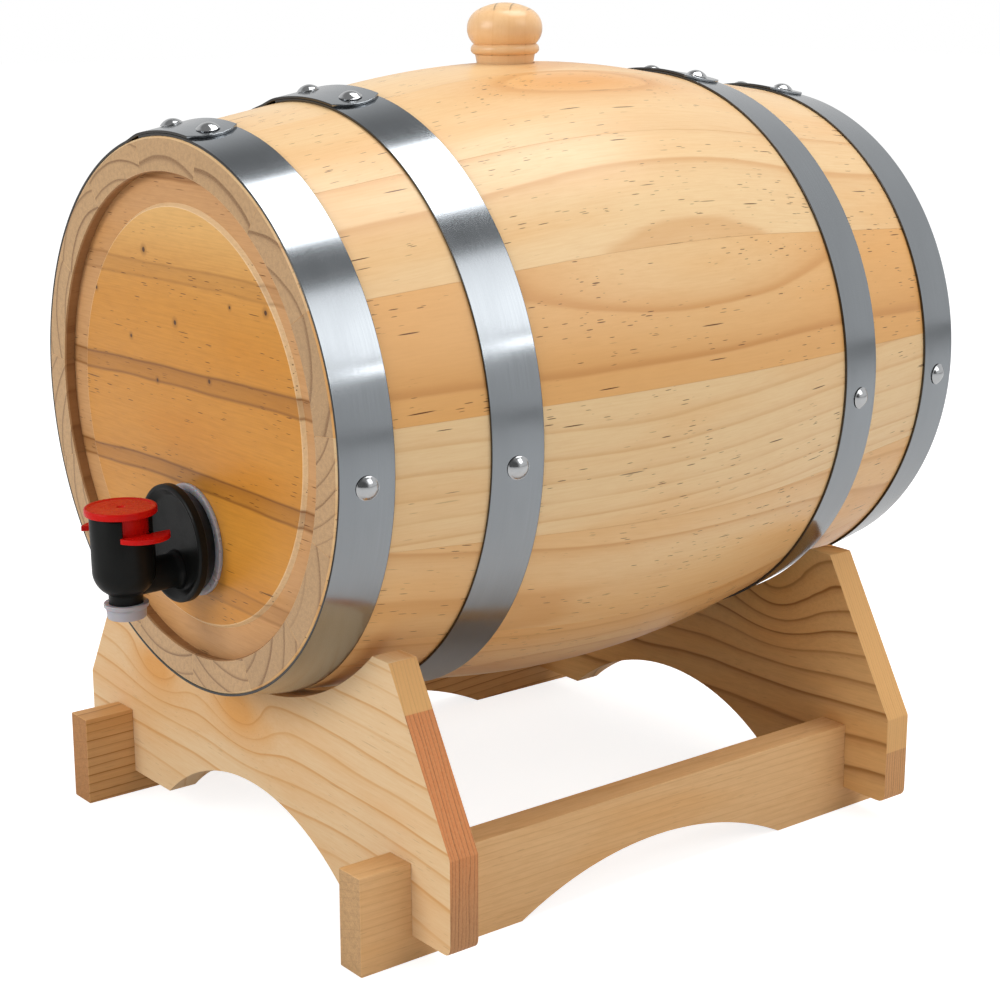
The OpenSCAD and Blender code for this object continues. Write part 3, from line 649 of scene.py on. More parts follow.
# %% The section of a stave, and one stave
GROOVE_OUT, GROOVE_IN, GROOVE_R = 145.5, 139.5, 91.464
SLICES = 44
steps = [-HALF + i * 2 * HALF / SLICES for i in range(SLICES + 1)]
outside = [(wood_r(y), y) for y in steps]
inside = [(wood_r(y, STAVE_T), y) for y in reversed(steps) if abs(y) < GROOVE_IN - 0.5]
groove = [(wood_r(GROOVE_OUT, STAVE_T), GROOVE_OUT), (GROOVE_R, GROOVE_OUT), (GROOVE_R, GROOVE_IN),
          (wood_r(GROOVE_IN, STAVE_T), GROOVE_IN)]
head_end = [(wood_r(HALF) - 0.6, HALF), (wood_r(HALF, STAVE_T) + 0.6, HALF)]
rim = head_end + [(wood_r(HALF - 0.6, STAVE_T), HALF - 0.6)]
section = ([(wood_r(HALF - 0.6), -HALF + 0.6)] + outside[1:-1] + [(wood_r(HALF - 0.6), HALF - 0.6)]
           + rim + groove + inside + [(r, -y) for r, y in reversed(groove)] + [(r, -y) for r, y in reversed(rim)])
stave_turn = 360 / STAVES
model_stave = eased(turned("model_stave", section, steps=10, turn=stave_turn, along="Y"), 0.09, 1)
model_stave.data.transform(Matrix.Rotation(math.radians(-stave_turn / 2), 4, "Y"))
sides = [round(math.degrees(math.atan2(v.co.z, v.co.x)), 2) for v in model_stave.data.vertices]
print("stave faces", len(model_stave.data.polygons), "from", min(sides), "to", max(sides), "degrees")


def in_stave(point):
    """Along, across and depth of a point in the stave that lies at angle 0."""
    radius = math.hypot(point.x, point.z)
    return point.y, math.atan2(point.z, point.x) * radius, wood_r(point.y) - radius


# %% [markdown]
# Each stave came from another board, so each gets its own place in a trunk and its own
# tone. The ones that face the light were chosen to carry the broad ovals and the long
# sweeping lines that make this cask look as it does.

# %% Fifteen staves
BUNG_HOLE_R = 11.4
#  stave: (pith across, pith depth), (drift across, drift depth), swells, ring, strength, tone
GRAIN = {
    0: ((10, 90), (0.02, 0.0), [(45, -9, 60, 14, -6)], 14, 0.4, -0.1),
    14: ((4, 96), (0.01, 0.0), [(6, 12, 46, 12, -13)], 13, 0.8, 0.1),
    13: ((-27, 63.3), (0.0, 0.0), [(5, 0, 85, 1000, 4.5)], 10, 0.62, 0.15),
    12: ((26, 75.5), (0.0, 0.0), [(2, 26, 75, 34, 14)], 12.1, 0.95, 0.85),
    11: ((52, 50), (0.03, 0.0), [(-30, 0, 90, 60, 3)], 6, 0.5, 0.0),
    10: ((-20, 55), (-0.05, 0.02), [(20, 8, 80, 14, 8)], 9, 0.7, 0.45),
    9: ((-25, 55), (0.05, 0.02), [(-20, 0, 50, 12, 8)], 8, 0.7, 0.6),
}
for k in range(STAVES):
    name = "bung_stave" if k == 0 else f"stave_{k:02d}"
    stave = twin(model_stave, name + "_wood")
    other = (((k * 37) % 50 - 25, 55 + (k * 23) % 45), (0.012 * ((k * 5) % 5 - 2), 0.0),
             [(40 * ((k * 3) % 5 - 2), (k * 11) % 17 - 8, 60, 14, 8)], 7 + (k * 4) % 4, 0.55,
             0.15 * ((k * 7) % 7 - 2))
    pith, drift, swells, ring, strength, tone = GRAIN.get(k, other)
    if k == 0:
        drilled(stave, BUNG_HOLE_R, (BELLY_R, 0, 0), 96, (0, math.pi / 2, 0))
    from_trunk(stave, in_stave, pith, drift, swells, k, ring, strength, tone)
    wear(stave, stave_pine, recess_shade_pine)
    # Faces deep in the stave take the dark pine: painted shade on the recess wall.
    for face in stave.data.polygons:
        face.material_index = int(in_stave(face.center)[2] > STAVE_T - 0.4)
    stave.data.transform(on_cask @ Matrix.Rotation(math.radians(-90 - k * stave_turn), 4, "Y"))
    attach(stave, "cask")
    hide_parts(name)
bpy.data.objects.remove(model_stave)
print("staves made:", STAVES)

# %% [markdown]
# ## The heads
#
# A head is a round board with a thinner rim that sits in the groove, and a raised middle.
# It is turned like the rest, and its grain runs level. The front head has a hole for the
# tap, hidden by the collar.

# %% Front and rear head
def head_section():
    back = wood_r(GROOVE_IN, STAVE_T) - 0.2
    return soften([(0, -10, 0), (back, -10), (back, -6, 0), (GROOVE_R - 0.2, -6), (GROOVE_R - 0.2, 0),
                   (76.5, 0, 0.3), (75.3, 1.4, 0.5), (0, 1.4, 0)], 0.3)


TAP_DROP, HEAD_HOLE_R = 44.6, 14
LAY_FRONT = Matrix.Translation((0, -GROOVE_OUT, 0)) @ Matrix.Rotation(math.radians(90), 4, "X")
LAY_REAR = Matrix.Translation((0, GROOVE_OUT, 0)) @ Matrix.Rotation(math.radians(-90), 4, "X")
for name, lay, pith, seed in (("front_head", LAY_FRONT, HEAD_PITH, HEAD_SEED), ("rear_head", LAY_REAR, -160, 22)):
    head = turned(name + "_wood", head_section(), steps=144)
    if name == "front_head":
        drilled(head, HEAD_HOLE_R, (0, -TAP_DROP, 0), 64)
    from_trunk(head, as_drawn, (pith, 0), (0, 0), (), seed, 37, 1.05, 0.0)
    wear(head, head_pine, rim_pine, highlight_edge_pine)
    # The bevel faces take the pale pine as a painted highlight.
    for face in head.data.polygons:
        out = math.hypot(face.center.x, face.center.y)
        face.material_index = 1 if face.center.z < 0.05 and out > 70 else 2 if 74.9 < out < 76.6 else 0
    head.data.transform(on_cask @ lay)
    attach(head, "cask")
    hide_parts(name)
    print(name, "faces", len(head.data.polygons))

# %% [markdown]
# ## Galvanised steel
#
# The hoops are cold rolled strip with a thin zinc skin, smooth enough to mirror the studio
# in soft bands. Rolling leaves very fine lines and specks. The edges of the strip are
# painted dark, as painted shade for the thin shadow line where the hoop meets the wood.
# All of these need a place on the strip, so each hoop stores how far round and how far
# across it each point lies.

# %% The steel recipe
def steel(name, colour, rough, rolled):
    material, tree, shader = finish_of(name, Metallic=1.0)
    if rolled:
        spot = stored(tree, "on_strip")
        lines = cloud(tree, scaled(tree, spot, (0.02, 2.6, 0)), 1.0, 3.0, 0.6)
        drift = cloud(tree, scaled(tree, spot, (0.03, 0.06, 0)), 1.0, 2.0, 0.5)
        speck = cloud(tree, scaled(tree, spot, (2.0, 2.0, 0)), 1.0, 2.0, 0.6)
    else:
        spot = tree.nodes.new("ShaderNodeTexCoord").outputs["Object"]
        lines = cloud(tree, spot, 900.0, 3.0, 0.6)
        drift = cloud(tree, spot, 160.0, 3.0, 0.6)
        speck = cloud(tree, spot, 2500.0, 2.0, 0.6)
    shade = tint(tree, spread(tree, drift, 0.3, 0.75, 0.0, 0.6), colour, dimmed(colour, 0.88))
    shade = tint(tree, spread(tree, lines, 0.3, 0.7, 0.0, 0.5), shade, dimmed(colour, 0.86))
    if rolled:
        # The dark edge is painted shade for the shadow line between the hoop and the wood.
        rim = spread(tree, calc(tree, "ABSOLUTE", number(tree, spot, 1)), HOOP_W / 2 - 0.26, HOOP_W / 2 - 0.14)
        shade = tint(tree, rim, shade, (0.085, 0.080, 0.075))
    tree.links.new(shade, shader.inputs["Base Color"])
    dull = calc(tree, "ADD", spread(tree, drift, 0.3, 0.8, rough - 0.02, rough + 0.04),
                spread(tree, speck, 0.3, 0.7, -0.02, 0.03))
    tree.links.new(dull, shader.inputs["Roughness"])
    relief(tree, shader, calc(tree, "ADD", speck, calc(tree, "MULTIPLY", lines, 0.5)), 0.000010, 0.5)
    return material


HOOP_W = 20.0
hoop_steel = steel("galvanised hoop steel", (0.33, 0.352, 0.372), 0.16, True)
rivet_steel = steel("bright rivet steel", (0.56, 0.57, 0.58), 0.13, False)
print("steels:", hoop_steel.name, "and", rivet_steel.name)

# %% [markdown]
# ## The hoops
#
# A hoop is one strip bent round the cask with its ends lapped on top and riveted. The
# strip starts at the rounded outer end, climbs down off the inner end just past the lap,
# and goes once round and under itself. A flat grid is wrapped to that path, given its
# thickness, and its edges are eased as a rolled strip's are.

# %% One hoop from a flat grid
HOOP_T, LAP_HALF, LAP_BULGE, MEAN_R = 1.0, 11.0, 5.0, 110
HEAD_Y, QUARTER_Y = 139.6, 84.3
HOOPS = {"front_head_hoop": -HEAD_Y, "front_quarter_hoop": -QUARTER_Y,
         "rear_quarter_hoop": QUARTER_Y, "rear_head_hoop": HEAD_Y}


def lap_middle(y):
    return 90 - (2.3 if abs(y) < 110 else 0)


def strip_place(u, v, y):
    """Where a point of the flat strip lies, u along it from the outer end and v across it."""
    middle = lap_middle(y)
    here = y + (v - 0.5) * (HOOP_W - 0.02)
    radius = wood_r(abs(here))
    round_r = ((HOOP_W / 2) ** 2 + LAP_BULGE ** 2) / (2 * LAP_BULGE)
    back = round_r - math.sqrt(round_r ** 2 - (here - y) ** 2)
    reach = wood_r(abs(y)) * math.sin(math.radians(LAP_HALF))
    tip = middle - math.degrees(math.asin((reach - back) / wood_r(abs(y))))
    top = middle - math.degrees(math.asin(reach / wood_r(abs(y))))
    plain = top + u * (middle + LAP_HALF + 360 - top)
    fade = max(0.0, 1 - (plain - top) / 10)
    turn = plain + (tip - top) * fade
    step = min(1.0, max(0.0, (turn - middle - LAP_HALF) / 6))
    layer = (1 - step * step * (3 - 2 * step)) * HOOP_T / math.cos(cone)
    a = math.radians(turn)
    r = radius + layer
    return (r * math.cos(a), here, r * math.sin(a)), (math.radians(plain) * MEAN_R, (v - 0.5) * HOOP_W, y)


def hoop(name, y):
    long, wide = 361, 5
    pick(None)
    bpy.ops.mesh.primitive_grid_add(x_subdivisions=long, y_subdivisions=wide, size=1)
    strip = bpy.context.object
    strip.name = strip.data.name = name
    spots = strip.data.attributes.new("on_strip", "FLOAT_VECTOR", "POINT")
    for vertex, spot in zip(strip.data.vertices, spots.data):
        u = vertex.co.x + 0.5
        u = u * u * (3 - 2 * u) * 0.2 + u * 0.8
        place, flat = strip_place(u, vertex.co.y + 0.5, y)
        vertex.co = place
        spot.vector = flat
    open_up(strip)
    bpy.ops.mesh.normals_make_consistent(inside=False)
    close_up()
    middle = strip.data.polygons[len(strip.data.polygons) // 2]
    outwards = middle.normal.dot(Vector((middle.center.x, 0, middle.center.z))) > 0
    wall = strip.modifiers.new("thickness", "SOLIDIFY")
    wall.thickness = HOOP_T
    wall.offset = 1 if outwards else -1
    bpy.ops.object.modifier_apply(modifier=wall.name)
    open_up(strip)
    bpy.ops.mesh.normals_make_consistent(inside=False)
    close_up()
    eased(strip, 0.25, 2)
    return strip


for name, y in HOOPS.items():
    band = hoop(name + "_strip", y)
    band.data.transform(on_cask)
    wear(band, hoop_steel)
    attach(band, "cask")
    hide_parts(name)
    print(name, "faces", len(band.data.polygons))

# %% [markdown]
# ## Rivets and nails
#
# The lap is closed by two rivets with low domed heads, and each hoop is held to a stave on
# either side by a nail with the same head. One dome is turned and copied sixteen times.

# %% Sixteen domed heads
RIVET_R, RIVET_H = 4.3, 2.2
dome_r = (RIVET_R ** 2 + RIVET_H ** 2) / (2 * RIVET_H)
crown = arc((0, RIVET_H - dome_r), dome_r, math.degrees(math.asin((dome_r - RIVET_H + 0.35) / dome_r)), 90, 9)
dome = turned("model_dome", [(0, -1.0), (RIVET_R - 0.8, -1.0), (RIVET_R - 0.8, 0.25), (RIVET_R - 0.1, 0.28)]
              + crown[:-1] + [(0, RIVET_H)], steps=40)


def on_cone(y, turn, lift):
    """Stands a piece on the cask at y, with +Z out of the wood."""
    side = math.copysign(1, y)
    return (Matrix.Rotation(math.radians(-turn), 4, "Y") @ Matrix.Translation((wood_r(abs(y)), y, 0))
            @ Matrix.Rotation(side * cone, 4, "Z") @ Matrix.Rotation(math.pi / 2, 4, "Y")
            @ Matrix.Translation((0, 0, lift)))


for node, turns, lift in (("lap_rivets", lambda y: (lap_middle(y) - 7, lap_middle(y) + 7), 2 * HOOP_T),
                          ("hoop_nails", lambda y: (-4, 184), HOOP_T)):
    count = 0
    for y in HOOPS.values():
        for turn in turns(y):
            count += 1
            head = twin(dome, f"{node}_{count}", on_cask @ on_cone(y, turn, lift))
            wear(head, rivet_steel)
            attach(head, "cask")
            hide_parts(node)
    print(node, count)
bpy.data.objects.remove(dome)

# %% [markdown]
# ## The bung
#
# The bung is one piece of pine turned on a lathe: a flattened ball over a bead, a short
# neck and a slightly tapered plug. Its grain stands upright, so its top is end grain.

# %% Ball, bead, neck and plug
KNOB_R, KNOB_H, KNOB_DOME, SIDE_R = 14.5, 12.6, 9.6, 8.0
BEAD_R, BEAD_H, BEAD_HALF, PLUG_R, PLUG_LEN = 13.2, 4.9, 2.1, 11.0, 16.0
side_x = KNOB_R - SIDE_R
top_r = (side_x ** 2 + KNOB_DOME ** 2 - SIDE_R ** 2) / (2 * (KNOB_DOME - SIDE_R))
top_z = KNOB_H + KNOB_DOME - top_r
lean = math.degrees(math.atan2(KNOB_H - top_z, side_x))
neck_r = PLUG_R + 0.5
under = math.degrees(math.acos((neck_r - side_x) / SIDE_R))
profile = ([(0, -PLUG_LEN), (PLUG_R - 1.2, -PLUG_LEN), (PLUG_R - 0.4, -PLUG_LEN + 0.8), (PLUG_R, 0),
            (neck_r, BEAD_H - BEAD_HALF)]
           + arc((BEAD_R - BEAD_HALF, BEAD_H), BEAD_HALF, -75, 78, 12)
           + arc((side_x, KNOB_H), SIDE_R, -under, lean, 16)
           + arc((0, top_z), top_r, lean, 90, 8)[1:-1] + [(0, KNOB_H + KNOB_DOME)])
bung = turned("turned_bung", profile)
from_trunk(bung, lambda p: (p.z, p.x, p.y), (40, 30), (0.05, 0.02), seed=31, ring=6, strength=0.16, tone=-0.2)
bung.data.transform(on_cask @ Matrix.Translation((0, 0, BELLY_R)))
wear(bung, bung_pine)
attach(bung, "bung")
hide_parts("bung")

# %% [markdown]
# ## Plastics
#
# The tap is moulded: black for the body, red for the key, and a milky clear plastic for
# the rings. Moulded faces are never quite even, so each has a faint orange-peel bump and a
# roughness that drifts. The milky plastic lets some light through and scatters the rest.

# %% The plastics
def plastic(name, colour, rough, grain, depth, shade=0.75, **values):
    material, tree, shader = finish_of(name, **values)
    spot = tree.nodes.new("ShaderNodeTexCoord").outputs["Object"]
    drift = cloud(tree, spot, 90.0, 3.0, 0.55)
    fine = cloud(tree, spot, grain, 3.0, 0.6)
    tree.links.new(tint(tree, spread(tree, drift, 0.3, 0.75), colour, dimmed(colour, shade)),
                   shader.inputs["Base Color"])
    tree.links.new(calc(tree, "ADD", spread(tree, drift, 0.25, 0.8, rough - 0.05, rough + 0.07),
                        spread(tree, fine, 0.3, 0.7, -0.03, 0.03)), shader.inputs["Roughness"])
    relief(tree, shader, fine, depth, 0.5)
    return material


black_plastic = plastic("satin black plastic", (0.009, 0.0095, 0.009), 0.34, 1500.0, 0.00004,
                        Specular_IOR_Level=0.12)
red_plastic = plastic("red key plastic", (0.58, 0.007, 0.005), 0.26, 500.0, 0.00002, 0.95,
                      Specular_IOR_Level=0.12)
milky_plastic = plastic("milky clear plastic", (0.53, 0.51, 0.55), 0.30, 260.0, 0.00001, 0.94,
                        Specular_IOR_Level=0.4, Transmission_Weight=0.25, IOR=1.49, Subsurface_Weight=0.4,
                        Subsurface_Scale=0.003)
tank_plastic = plastic("moulded tank plastic", (0.80, 0.80, 0.77), 0.45, 300.0, 0.00008, 0.93)
seal_rubber = plastic("seal rubber", (0.02, 0.02, 0.02), 0.65, 1800.0, 0.00006, 0.7)
print("plastics made:", sum("plastic" in m.name or "rubber" in m.name for m in bpy.data.materials))

# %% [markdown]
# ## The tap's body
#
# The upright body is a cup with a rounded bottom that runs down into the spout. A low neck
# joins it to a dished flange, whose back is bevelled and shiny. Two windows in the cup let
# the key's wings out. The cup is turned, the windows are cut out of it with wedges, and
# the flange and neck are turned lying down.

# %% Cup, windows, neck and flange
BODY_Y, COLLAR_Y, FLANGE_Y = 175.3, 148.4, 156.8
WING_TURNS = (0, 157)    # where round the axis the key's two wings stand
at_tap = on_cask @ Matrix.Translation((0, -BODY_Y, -TAP_DROP))
along_tap = on_cask @ Matrix.Translation((0, 0, -TAP_DROP)) @ Matrix.Rotation(math.pi / 2, 4, "X")
bowl = arc((1.75, -5.9), 9.55, -60, 0, 14)
cup = turned("tap_cup", soften([(4.4, -20.9), (6.1, -20.9), (6.1, -15.0, 0)], 0.3)
             + [(6.16, -14.75), (6.35, -14.5)] + [p for p in bowl if p[0] > 6.5]
             + [(11.3, 13.9), (11.2, 14.2), (10.9, 14.3), (10.0, 14.3), (9.8, 14.2), (9.7, 13.9)]
             + [(9.7, -5.9), (5.7, -12.9), (4.4, -12.9)], steps=128)
for first in WING_TURNS:
    wedge = [at_angle(2, first + 25)] + [at_angle(30, first + a) for a in (-33, 0, 40, 84)]
    window = sawn("window", wedge, 20, 0)
    window.data.transform(Matrix.Translation((0, 0, 6.2)))
    carve(cup, window)
smooth(cup)
cup.data.transform(at_tap)
neck = turned("tap_neck", [(0, FLANGE_Y - 4), (7.3, FLANGE_Y - 4), (7.3, FLANGE_Y - 2.0), (6.9, FLANGE_Y - 1.2),
                           (6.35, FLANGE_Y - 0.4), (6.3, FLANGE_Y + 1), (6.3, BODY_Y - 3), (0, BODY_Y - 3)], steps=64)
neck.data.transform(along_tap @ Matrix.Translation((0, -10, 0)))
flange = turned("tap_flange", [(0, COLLAR_Y - 24), (11.0, COLLAR_Y - 24), (11.0, COLLAR_Y)]
                + soften([(18, COLLAR_Y, 0.3), (21.1, FLANGE_Y - 3.7, 0.5), (21.7, FLANGE_Y - 3.1, 0.4),
                          (21.7, FLANGE_Y - 0.6, 0.5), (21.1, FLANGE_Y, 0.5), (20.1, FLANGE_Y, 0.8),
                          (17.3, FLANGE_Y - 2.4, 2.0), (0, FLANGE_Y - 2.4, 0)], 0.5, 4), steps=144)
flange.data.transform(along_tap)
for part in (cup, neck, flange):
    wear(part, black_plastic)
tap = joined("tap_moulding", cup, neck, flange)
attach(tap, "cask")
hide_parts("tap_body")
print("tap faces", len(tap.data.polygons))

# %% [markdown]
# ## The red key
#
# The key is a thin cap on a core that fills the cup, with two D-shaped wings to turn it
# by. The wings pass out through the windows. Each is drawn in polar steps round the key's
# axis, so that its inner edge clears the cup and its root reaches the core.

# %% Cap, core and wings
LOBE_AT, LOBE_R, LOBE_TURN = 8.2, 10.2, 26    # the round edge of a wing is part of this circle
WING_FROM, ROOT_TO, WING_TO, WING_STEPS = -31, 22, 54, 60
ROOT_R, CUP_CLEAR_R, ROOT_EDGE_R = 8.4, 11.8, 12.0


def wing_outer(a):
    lean_a = math.radians(a - LOBE_TURN)
    return LOBE_AT * math.cos(lean_a) + math.sqrt(LOBE_R ** 2 - LOBE_AT ** 2 * math.sin(lean_a) ** 2)


def wing_inner(a):
    return ROOT_R if a <= ROOT_TO else max(CUP_CLEAR_R, 9.7 / math.cos(math.radians(a)))


turns = [WING_FROM + i * (WING_TO - WING_FROM) / WING_STEPS for i in range(WING_STEPS + 1)]
outer = [(max(wing_outer(a), ROOT_EDGE_R if a <= ROOT_TO else 0), a) for a in turns]
kept = [(r, a) for r, a in outer if r > wing_inner(a) + 0.05]
shape = [at_angle(r, a) for r, a in kept + [(wing_inner(a), a) for r, a in reversed(kept)]]
cap_low = 14.8
cap = turned("key_cap", soften([(0, cap_low, 0), (12.85, cap_low, 0.5), (12.85, cap_low + 2.5, 0.6),
                                (11.6, cap_low + 2.5, 0.5), (10.9, cap_low + 2.2, 0.4), (1.5, cap_low + 2.2, 0.3),
                                (1.1, cap_low + 1.8, 0.3), (0, cap_low + 1.8, 0)], 0.5, 4), steps=128)
core = turned("key_core", [(0, 1.5), (9.0, 1.5), (9.4, 1.9), (9.4, cap_low + 0.5), (0, cap_low + 0.5)], steps=64)
wings = []
for first in WING_TURNS:
    wing = sawn("key_wing", shape, 1.8, 0.5)
    wing.data.transform(Matrix.Rotation(math.radians(first), 4, "Z") @ Matrix.Translation((0, 0, 6.6)))
    wings.append(wing)
for part in (cap, core, *wings):
    wear(part, red_plastic)
key = joined("red_key", cap, core, *wings)
key.data.transform(at_tap)
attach(key, "key")
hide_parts("tap_key")
print("key faces", len(key.data.polygons))

# %% [markdown]
# ## The milky rings
#
# A collar shows behind the flange, where the gland of the inner tank comes through the
# head, and a ring closes the end of the spout. Both are turned with soft corners.

# %% Collar and spout ring
collar = turned("gland_collar_ring", soften([(13.7, 146.9), (20.7, 146.9, 0.3), (20.7, COLLAR_Y, 0.5),
                                             (13.7, COLLAR_Y)], 0.3), steps=128)
collar.data.transform(along_tap)
ring_top, ring_low = -17.9, -23.5
ring = turned("spout_end_ring", soften([(5.2, ring_low, 0.4), (6.9, ring_low, 0.5), (7.2, ring_top - 2.1, 0.5),
                                        (8.0, ring_top - 1.3, 0.3), (8.0, ring_top, 0.4), (6.1, ring_top, 0.3),
                                        (6.1, -20.9, 0), (5.2, -20.9, 0.1)], 0.4))
ring.data.transform(at_tap)
for part, node in ((collar, "gland_collar"), (ring, "spout_ring")):
    wear(part, milky_plastic)
    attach(part, "cask")
    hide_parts(node)
for node, material in (("filler_collar", milky_plastic), ("tank_gland", milky_plastic), ("valve_stem", milky_plastic),
                       ("inner_tank", tank_plastic), ("valve_seal", seal_rubber)):
    wear(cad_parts[node], material)
print("rings and inner parts finished")

# %% [markdown]
# ## The stand
#
# Each cradle board is sawn from 12 mm pine: a hollow for the cask, leaning shoulders, a
# low arch underneath, and two slots that drop over the rails. The rear hollow has a radius
# of its own, because a hoop lies in it. The rails have matching notches and their own flat
# arch. All edges are eased by about a millimetre.

# %% The boards
BOARD_T, FRONT_SADDLE_R, REAR_SADDLE_R = 12.0, 119.2, 111.544
RAIL_IN, RAIL_OUT, LAP_H, RAIL_H = 91.7, 104.1, 22.5, 36.2
FRONT_OUT_Y, REAR_IN_Y, RAIL_MID_Y, RAIL_LEN = -125.55, 91.55, -11.0, 271.9


def arch(half, low, rise, steps):
    """Points of an arch from +half to -half, standing on the height low."""
    r = (half * half + rise * rise) / (2 * rise)
    edge = math.degrees(math.asin(half / r))
    return arc((0, low + rise - r), r, 90 - edge, 90 + edge, steps)


def board_shape(saddle_low, saddle_r):
    low, high, kink, rise = 9.3, 104.9, 44.2, 23.9
    mid = saddle_low + saddle_r
    edge = math.degrees(math.acos((mid - high) / saddle_r))
    right = arch(63, low, rise, 32)[16::-1]
    side = soften([(70, low, 0), (RAIL_IN, low, 0.3), (RAIL_IN, LAP_H, 0), (RAIL_OUT, LAP_H, 0),
                   (RAIL_OUT, low, 0.3), (126.2, low, 4), (126.2, kink, 1.5), (92, high, 1.2),
                   (85, high, 0)], 0.3, 5)
    hollow = arc((0, mid), saddle_r, edge - 90, -90, 40)
    half = right[1:] + side + hollow[:-1]
    return half + [(0, saddle_low)] + [(-x, z) for x, z in reversed(half)] + [(0, low + rise)]


UPRIGHT = Matrix.Rotation(math.pi / 2, 4, "X")
for name, y, saddle, grain, woods in (
        ("front_cradle_board", FRONT_OUT_Y, (71.7, FRONT_SADDLE_R),
         (FRONT_PITH, FRONT_DRIFT, (), FRONT_SEED, 7.5, 0.75, -0.15), (front_pine, FRONT_END)),
        ("rear_cradle_board", REAR_IN_Y, (70.487, REAR_SADDLE_R),
         (REAR_PITH, REAR_DRIFT, (), REAR_SEED, 8.5, 1.1, 0.1), (rear_pine, REAR_END))):
    board = sawn(name + "_wood", board_shape(*saddle), BOARD_T)
    from_trunk(board, as_drawn, *grain)
    wear(board, *woods)
    for face in board.data.polygons:
        face.material_index = int(abs(face.normal.x) > 0.62 and abs(face.center.x) > 90)
    board.data.transform(on_stand @ Matrix.Translation((0, y + BOARD_T, 0)) @ UPRIGHT)
    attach(board, "stand")
    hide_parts(name)
    print(name, "faces", len(board.data.polygons))

# %% [markdown]
# A rail is an outline too, drawn along its length and then turned to stand on its edge. The
# left one is redder, with darker rings on its sawn end.

# %% The rails
def rail_shape():
    end = RAIL_LEN / 2
    front = FRONT_OUT_Y - RAIL_MID_Y
    rear = REAR_IN_Y - RAIL_MID_Y
    top = [(end, 0), (end, RAIL_H), (rear + BOARD_T, RAIL_H, 0.3), (rear + BOARD_T, LAP_H, 0), (rear, LAP_H, 0),
           (rear, RAIL_H, 0.3), (front + BOARD_T, RAIL_H, 0.3), (front + BOARD_T, LAP_H, 0), (front, LAP_H, 0),
           (front, RAIL_H, 0.3), (-end, RAIL_H), (-end, 0), (-66.5, 0, 0)]
    return soften(top, 0.5) + arch(65.5, 0, 16, 32)[::-1] + [(66.5, 0)]


LENGTHWISE = Matrix.Rotation(math.pi / 2, 4, "Z") @ Matrix.Rotation(math.pi / 2, 4, "X")
for name, x, rail_pine, grain in (
        ("left_rail", -RAIL_OUT, left_pine, ((-40, 30), (0.02, 0.0), (), 43, 3.6, 1.1, 0.3)),
        ("right_rail", RAIL_IN, right_pine, ((-55, 30), (-0.015, 0.0), (), 44, 2.8, 0.3, 0.05))):
    rail = sawn(name + "_wood", rail_shape(), RAIL_OUT - RAIL_IN)
    from_trunk(rail, as_drawn, *grain)
    rail.data.transform(on_stand @ Matrix.Translation((x, RAIL_MID_Y, 0)) @ LENGTHWISE)
    wear(rail, rail_pine)
    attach(rail, "stand")
    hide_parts(name)
    print(name, "faces", len(rail.data.polygons))

# %% [markdown]
# ## Floor, light and camera
#
# The floor is a plain pale sheet that keeps the object's soft shadow. To the camera it is
# as white as the background, through the Light Path node, and to everything else it is a
# pale surface. Three softboxes and a narrow strip shape the wood and give the steel its
# long highlights.

# %% Floor
FLOOR_SIZE = 14    # metres, so that its edge is never in the picture
pick(None)
bpy.ops.mesh.primitive_grid_add(x_subdivisions=8, y_subdivisions=8, size=FLOOR_SIZE, location=(0, 0, 0))
floor = bpy.context.object
floor.name = floor.data.name = "studio_floor"
material, tree, shader = finish_of("pale studio floor", Base_Color=(0.74, 0.74, 0.74, 1), Roughness=0.9,
                                   Specular_IOR_Level=0.1)


def sheet(tree, albedo, glow):
    """A matt sheet that also glows a little."""
    matt = tree.nodes.new("ShaderNodeBsdfDiffuse")
    matt.inputs[0].default_value = (albedo, albedo, albedo, 1)
    lift = tree.nodes.new("ShaderNodeEmission")
    lift.inputs[1].default_value = glow
    both = tree.nodes.new("ShaderNodeAddShader")
    tree.links.new(matt.outputs[0], both.inputs[0])
    tree.links.new(lift.outputs[0], both.inputs[1])
    return both.outputs[0]


rays = tree.nodes.new("ShaderNodeLightPath")
looking = calc(tree, "MAXIMUM", rays.outputs["Is Camera Ray"], rays.outputs["Is Transmission Ray"])
in_metal = brick(tree, "MixShader", rays.outputs["Is Glossy Ray"], shader.outputs[0], sheet(tree, 0.68, 0.04))
seen = brick(tree, "MixShader", looking, in_metal, sheet(tree, 0.5, 0.80))
tree.links.new(seen, tree.nodes["Material Output"].inputs[0])
floor.data.materials.append(material)
print("floor", tuple(round(x, 1) for x in floor.dimensions))

# %% [markdown]
# The air round the object is white to the camera. Metal sees it too, with a darker ceiling
# and a darker place where the photographer stands, as in any studio: without them polished
# steel and black plastic have nothing dark to mirror, and look like chalk.

# %% World
world = bpy.data.worlds.new("studio air")
bpy.context.scene.world = world
world.use_nodes = True
air = world.node_tree
sky = air.nodes["Background"]
sky.inputs[0].default_value = (1, 1, 1, 1)
way = air.nodes.new("ShaderNodeTexCoord").outputs["Generated"]
to_dark = measure(air, "DOT_PRODUCT", way, (0.78, -0.62, 0.1))
ceiling = spread(air, number(air, way, 2), 0.55, 0.80, 1.0, 0.4)
corner = spread(air, to_dark, 0.62, 0.88, 1.0, 0.15)
mirrored = calc(air, "MULTIPLY", calc(air, "MULTIPLY", ceiling, corner), 0.74)
rays = air.nodes.new("ShaderNodeLightPath")
FELT = 0.47
change = calc(air, "MULTIPLY", rays.outputs["Is Glossy Ray"], calc(air, "SUBTRACT", mirrored, FELT))
strength = calc(air, "ADD", FELT, change)
looking = calc(air, "MAXIMUM", rays.outputs["Is Camera Ray"], rays.outputs["Is Transmission Ray"])
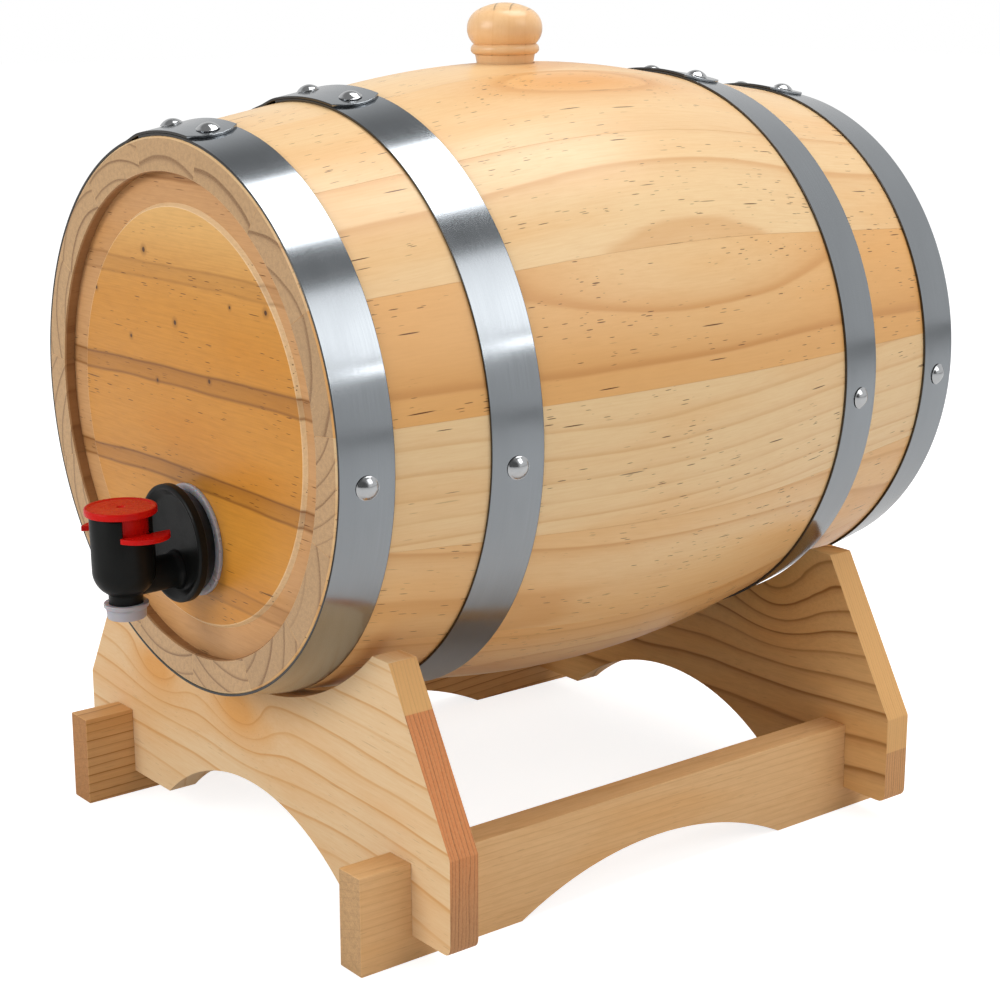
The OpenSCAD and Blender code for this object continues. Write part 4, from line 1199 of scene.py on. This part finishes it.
air.links.new(calc(air, "MAXIMUM", strength, looking), sky.inputs[1])
print("air felt at", FELT)

# %% [markdown]
# The overhead softbox lights the upper staves, the front one the head and the tap, and the
# right one the end of the cask that turns away. The narrow strip draws a thin highlight
# along the edges of the wood and steel on that side.

# %% Softboxes
def softbox(name, place, aim, size, watts):
    light = bpy.data.lights.new(name, "AREA")
    light.shape = "RECTANGLE"
    light.size, light.size_y = size
    light.energy = watts
    lamp = bpy.data.objects.new(name, light)
    bpy.context.scene.collection.objects.link(lamp)
    lamp.location = place
    lamp.rotation_euler = (Vector(aim) - Vector(place)).to_track_quat("-Z", "Y").to_euler()


middle = (0, 0, 0.16)
softbox("overhead softbox", (0.09, 0.56, 1.62), (0.09, 0.56, 0), (0.84, 1.1), 16)
softbox("front softbox", (-0.2, -1.7, 0.9), middle, (1.0, 0.9), 15)
softbox("right softbox", (1.55, 0.62, 1.45), middle, (1.15, 1.0), 7.0)
softbox("edge strip", (1.70, 0.68, 0.86), middle, (0.9, 0.09), 1.2)

# %% [markdown]
# The camera stands where the photograph was taken, as the fit of its outlines gave it. The
# view transform is Standard, so that white stays white.

# %% Camera
CAMERA_PLACE, CAMERA_BACK, CAMERA_ROLL = (0.63593, -0.48930, 0.32934), (0.75707, -0.60662, 0.24256), 0.0825
camera = bpy.data.objects.new("camera", bpy.data.cameras.new("camera"))
bpy.context.scene.collection.objects.link(camera)
camera.data.lens = 74.380
camera.data.sensor_width = 36
camera.data.shift_x = -0.01316
camera.data.shift_y = -0.00499
camera.data.clip_start = 0.01
back = Vector(CAMERA_BACK).normalized()
side = Vector((0, 0, 1)).cross(back).normalized()
above = back.cross(side)
look = Matrix((side, above, back)).transposed().to_4x4()
roll = Matrix.Rotation(math.radians(CAMERA_ROLL), 4, "Z")
camera.matrix_world = Matrix.Translation(CAMERA_PLACE) @ look @ roll
bpy.context.scene.camera = camera
bpy.context.scene.view_settings.view_transform = "Standard"
print("camera with a", round(camera.data.lens, 1), "mm lens at", CAMERA_PLACE)
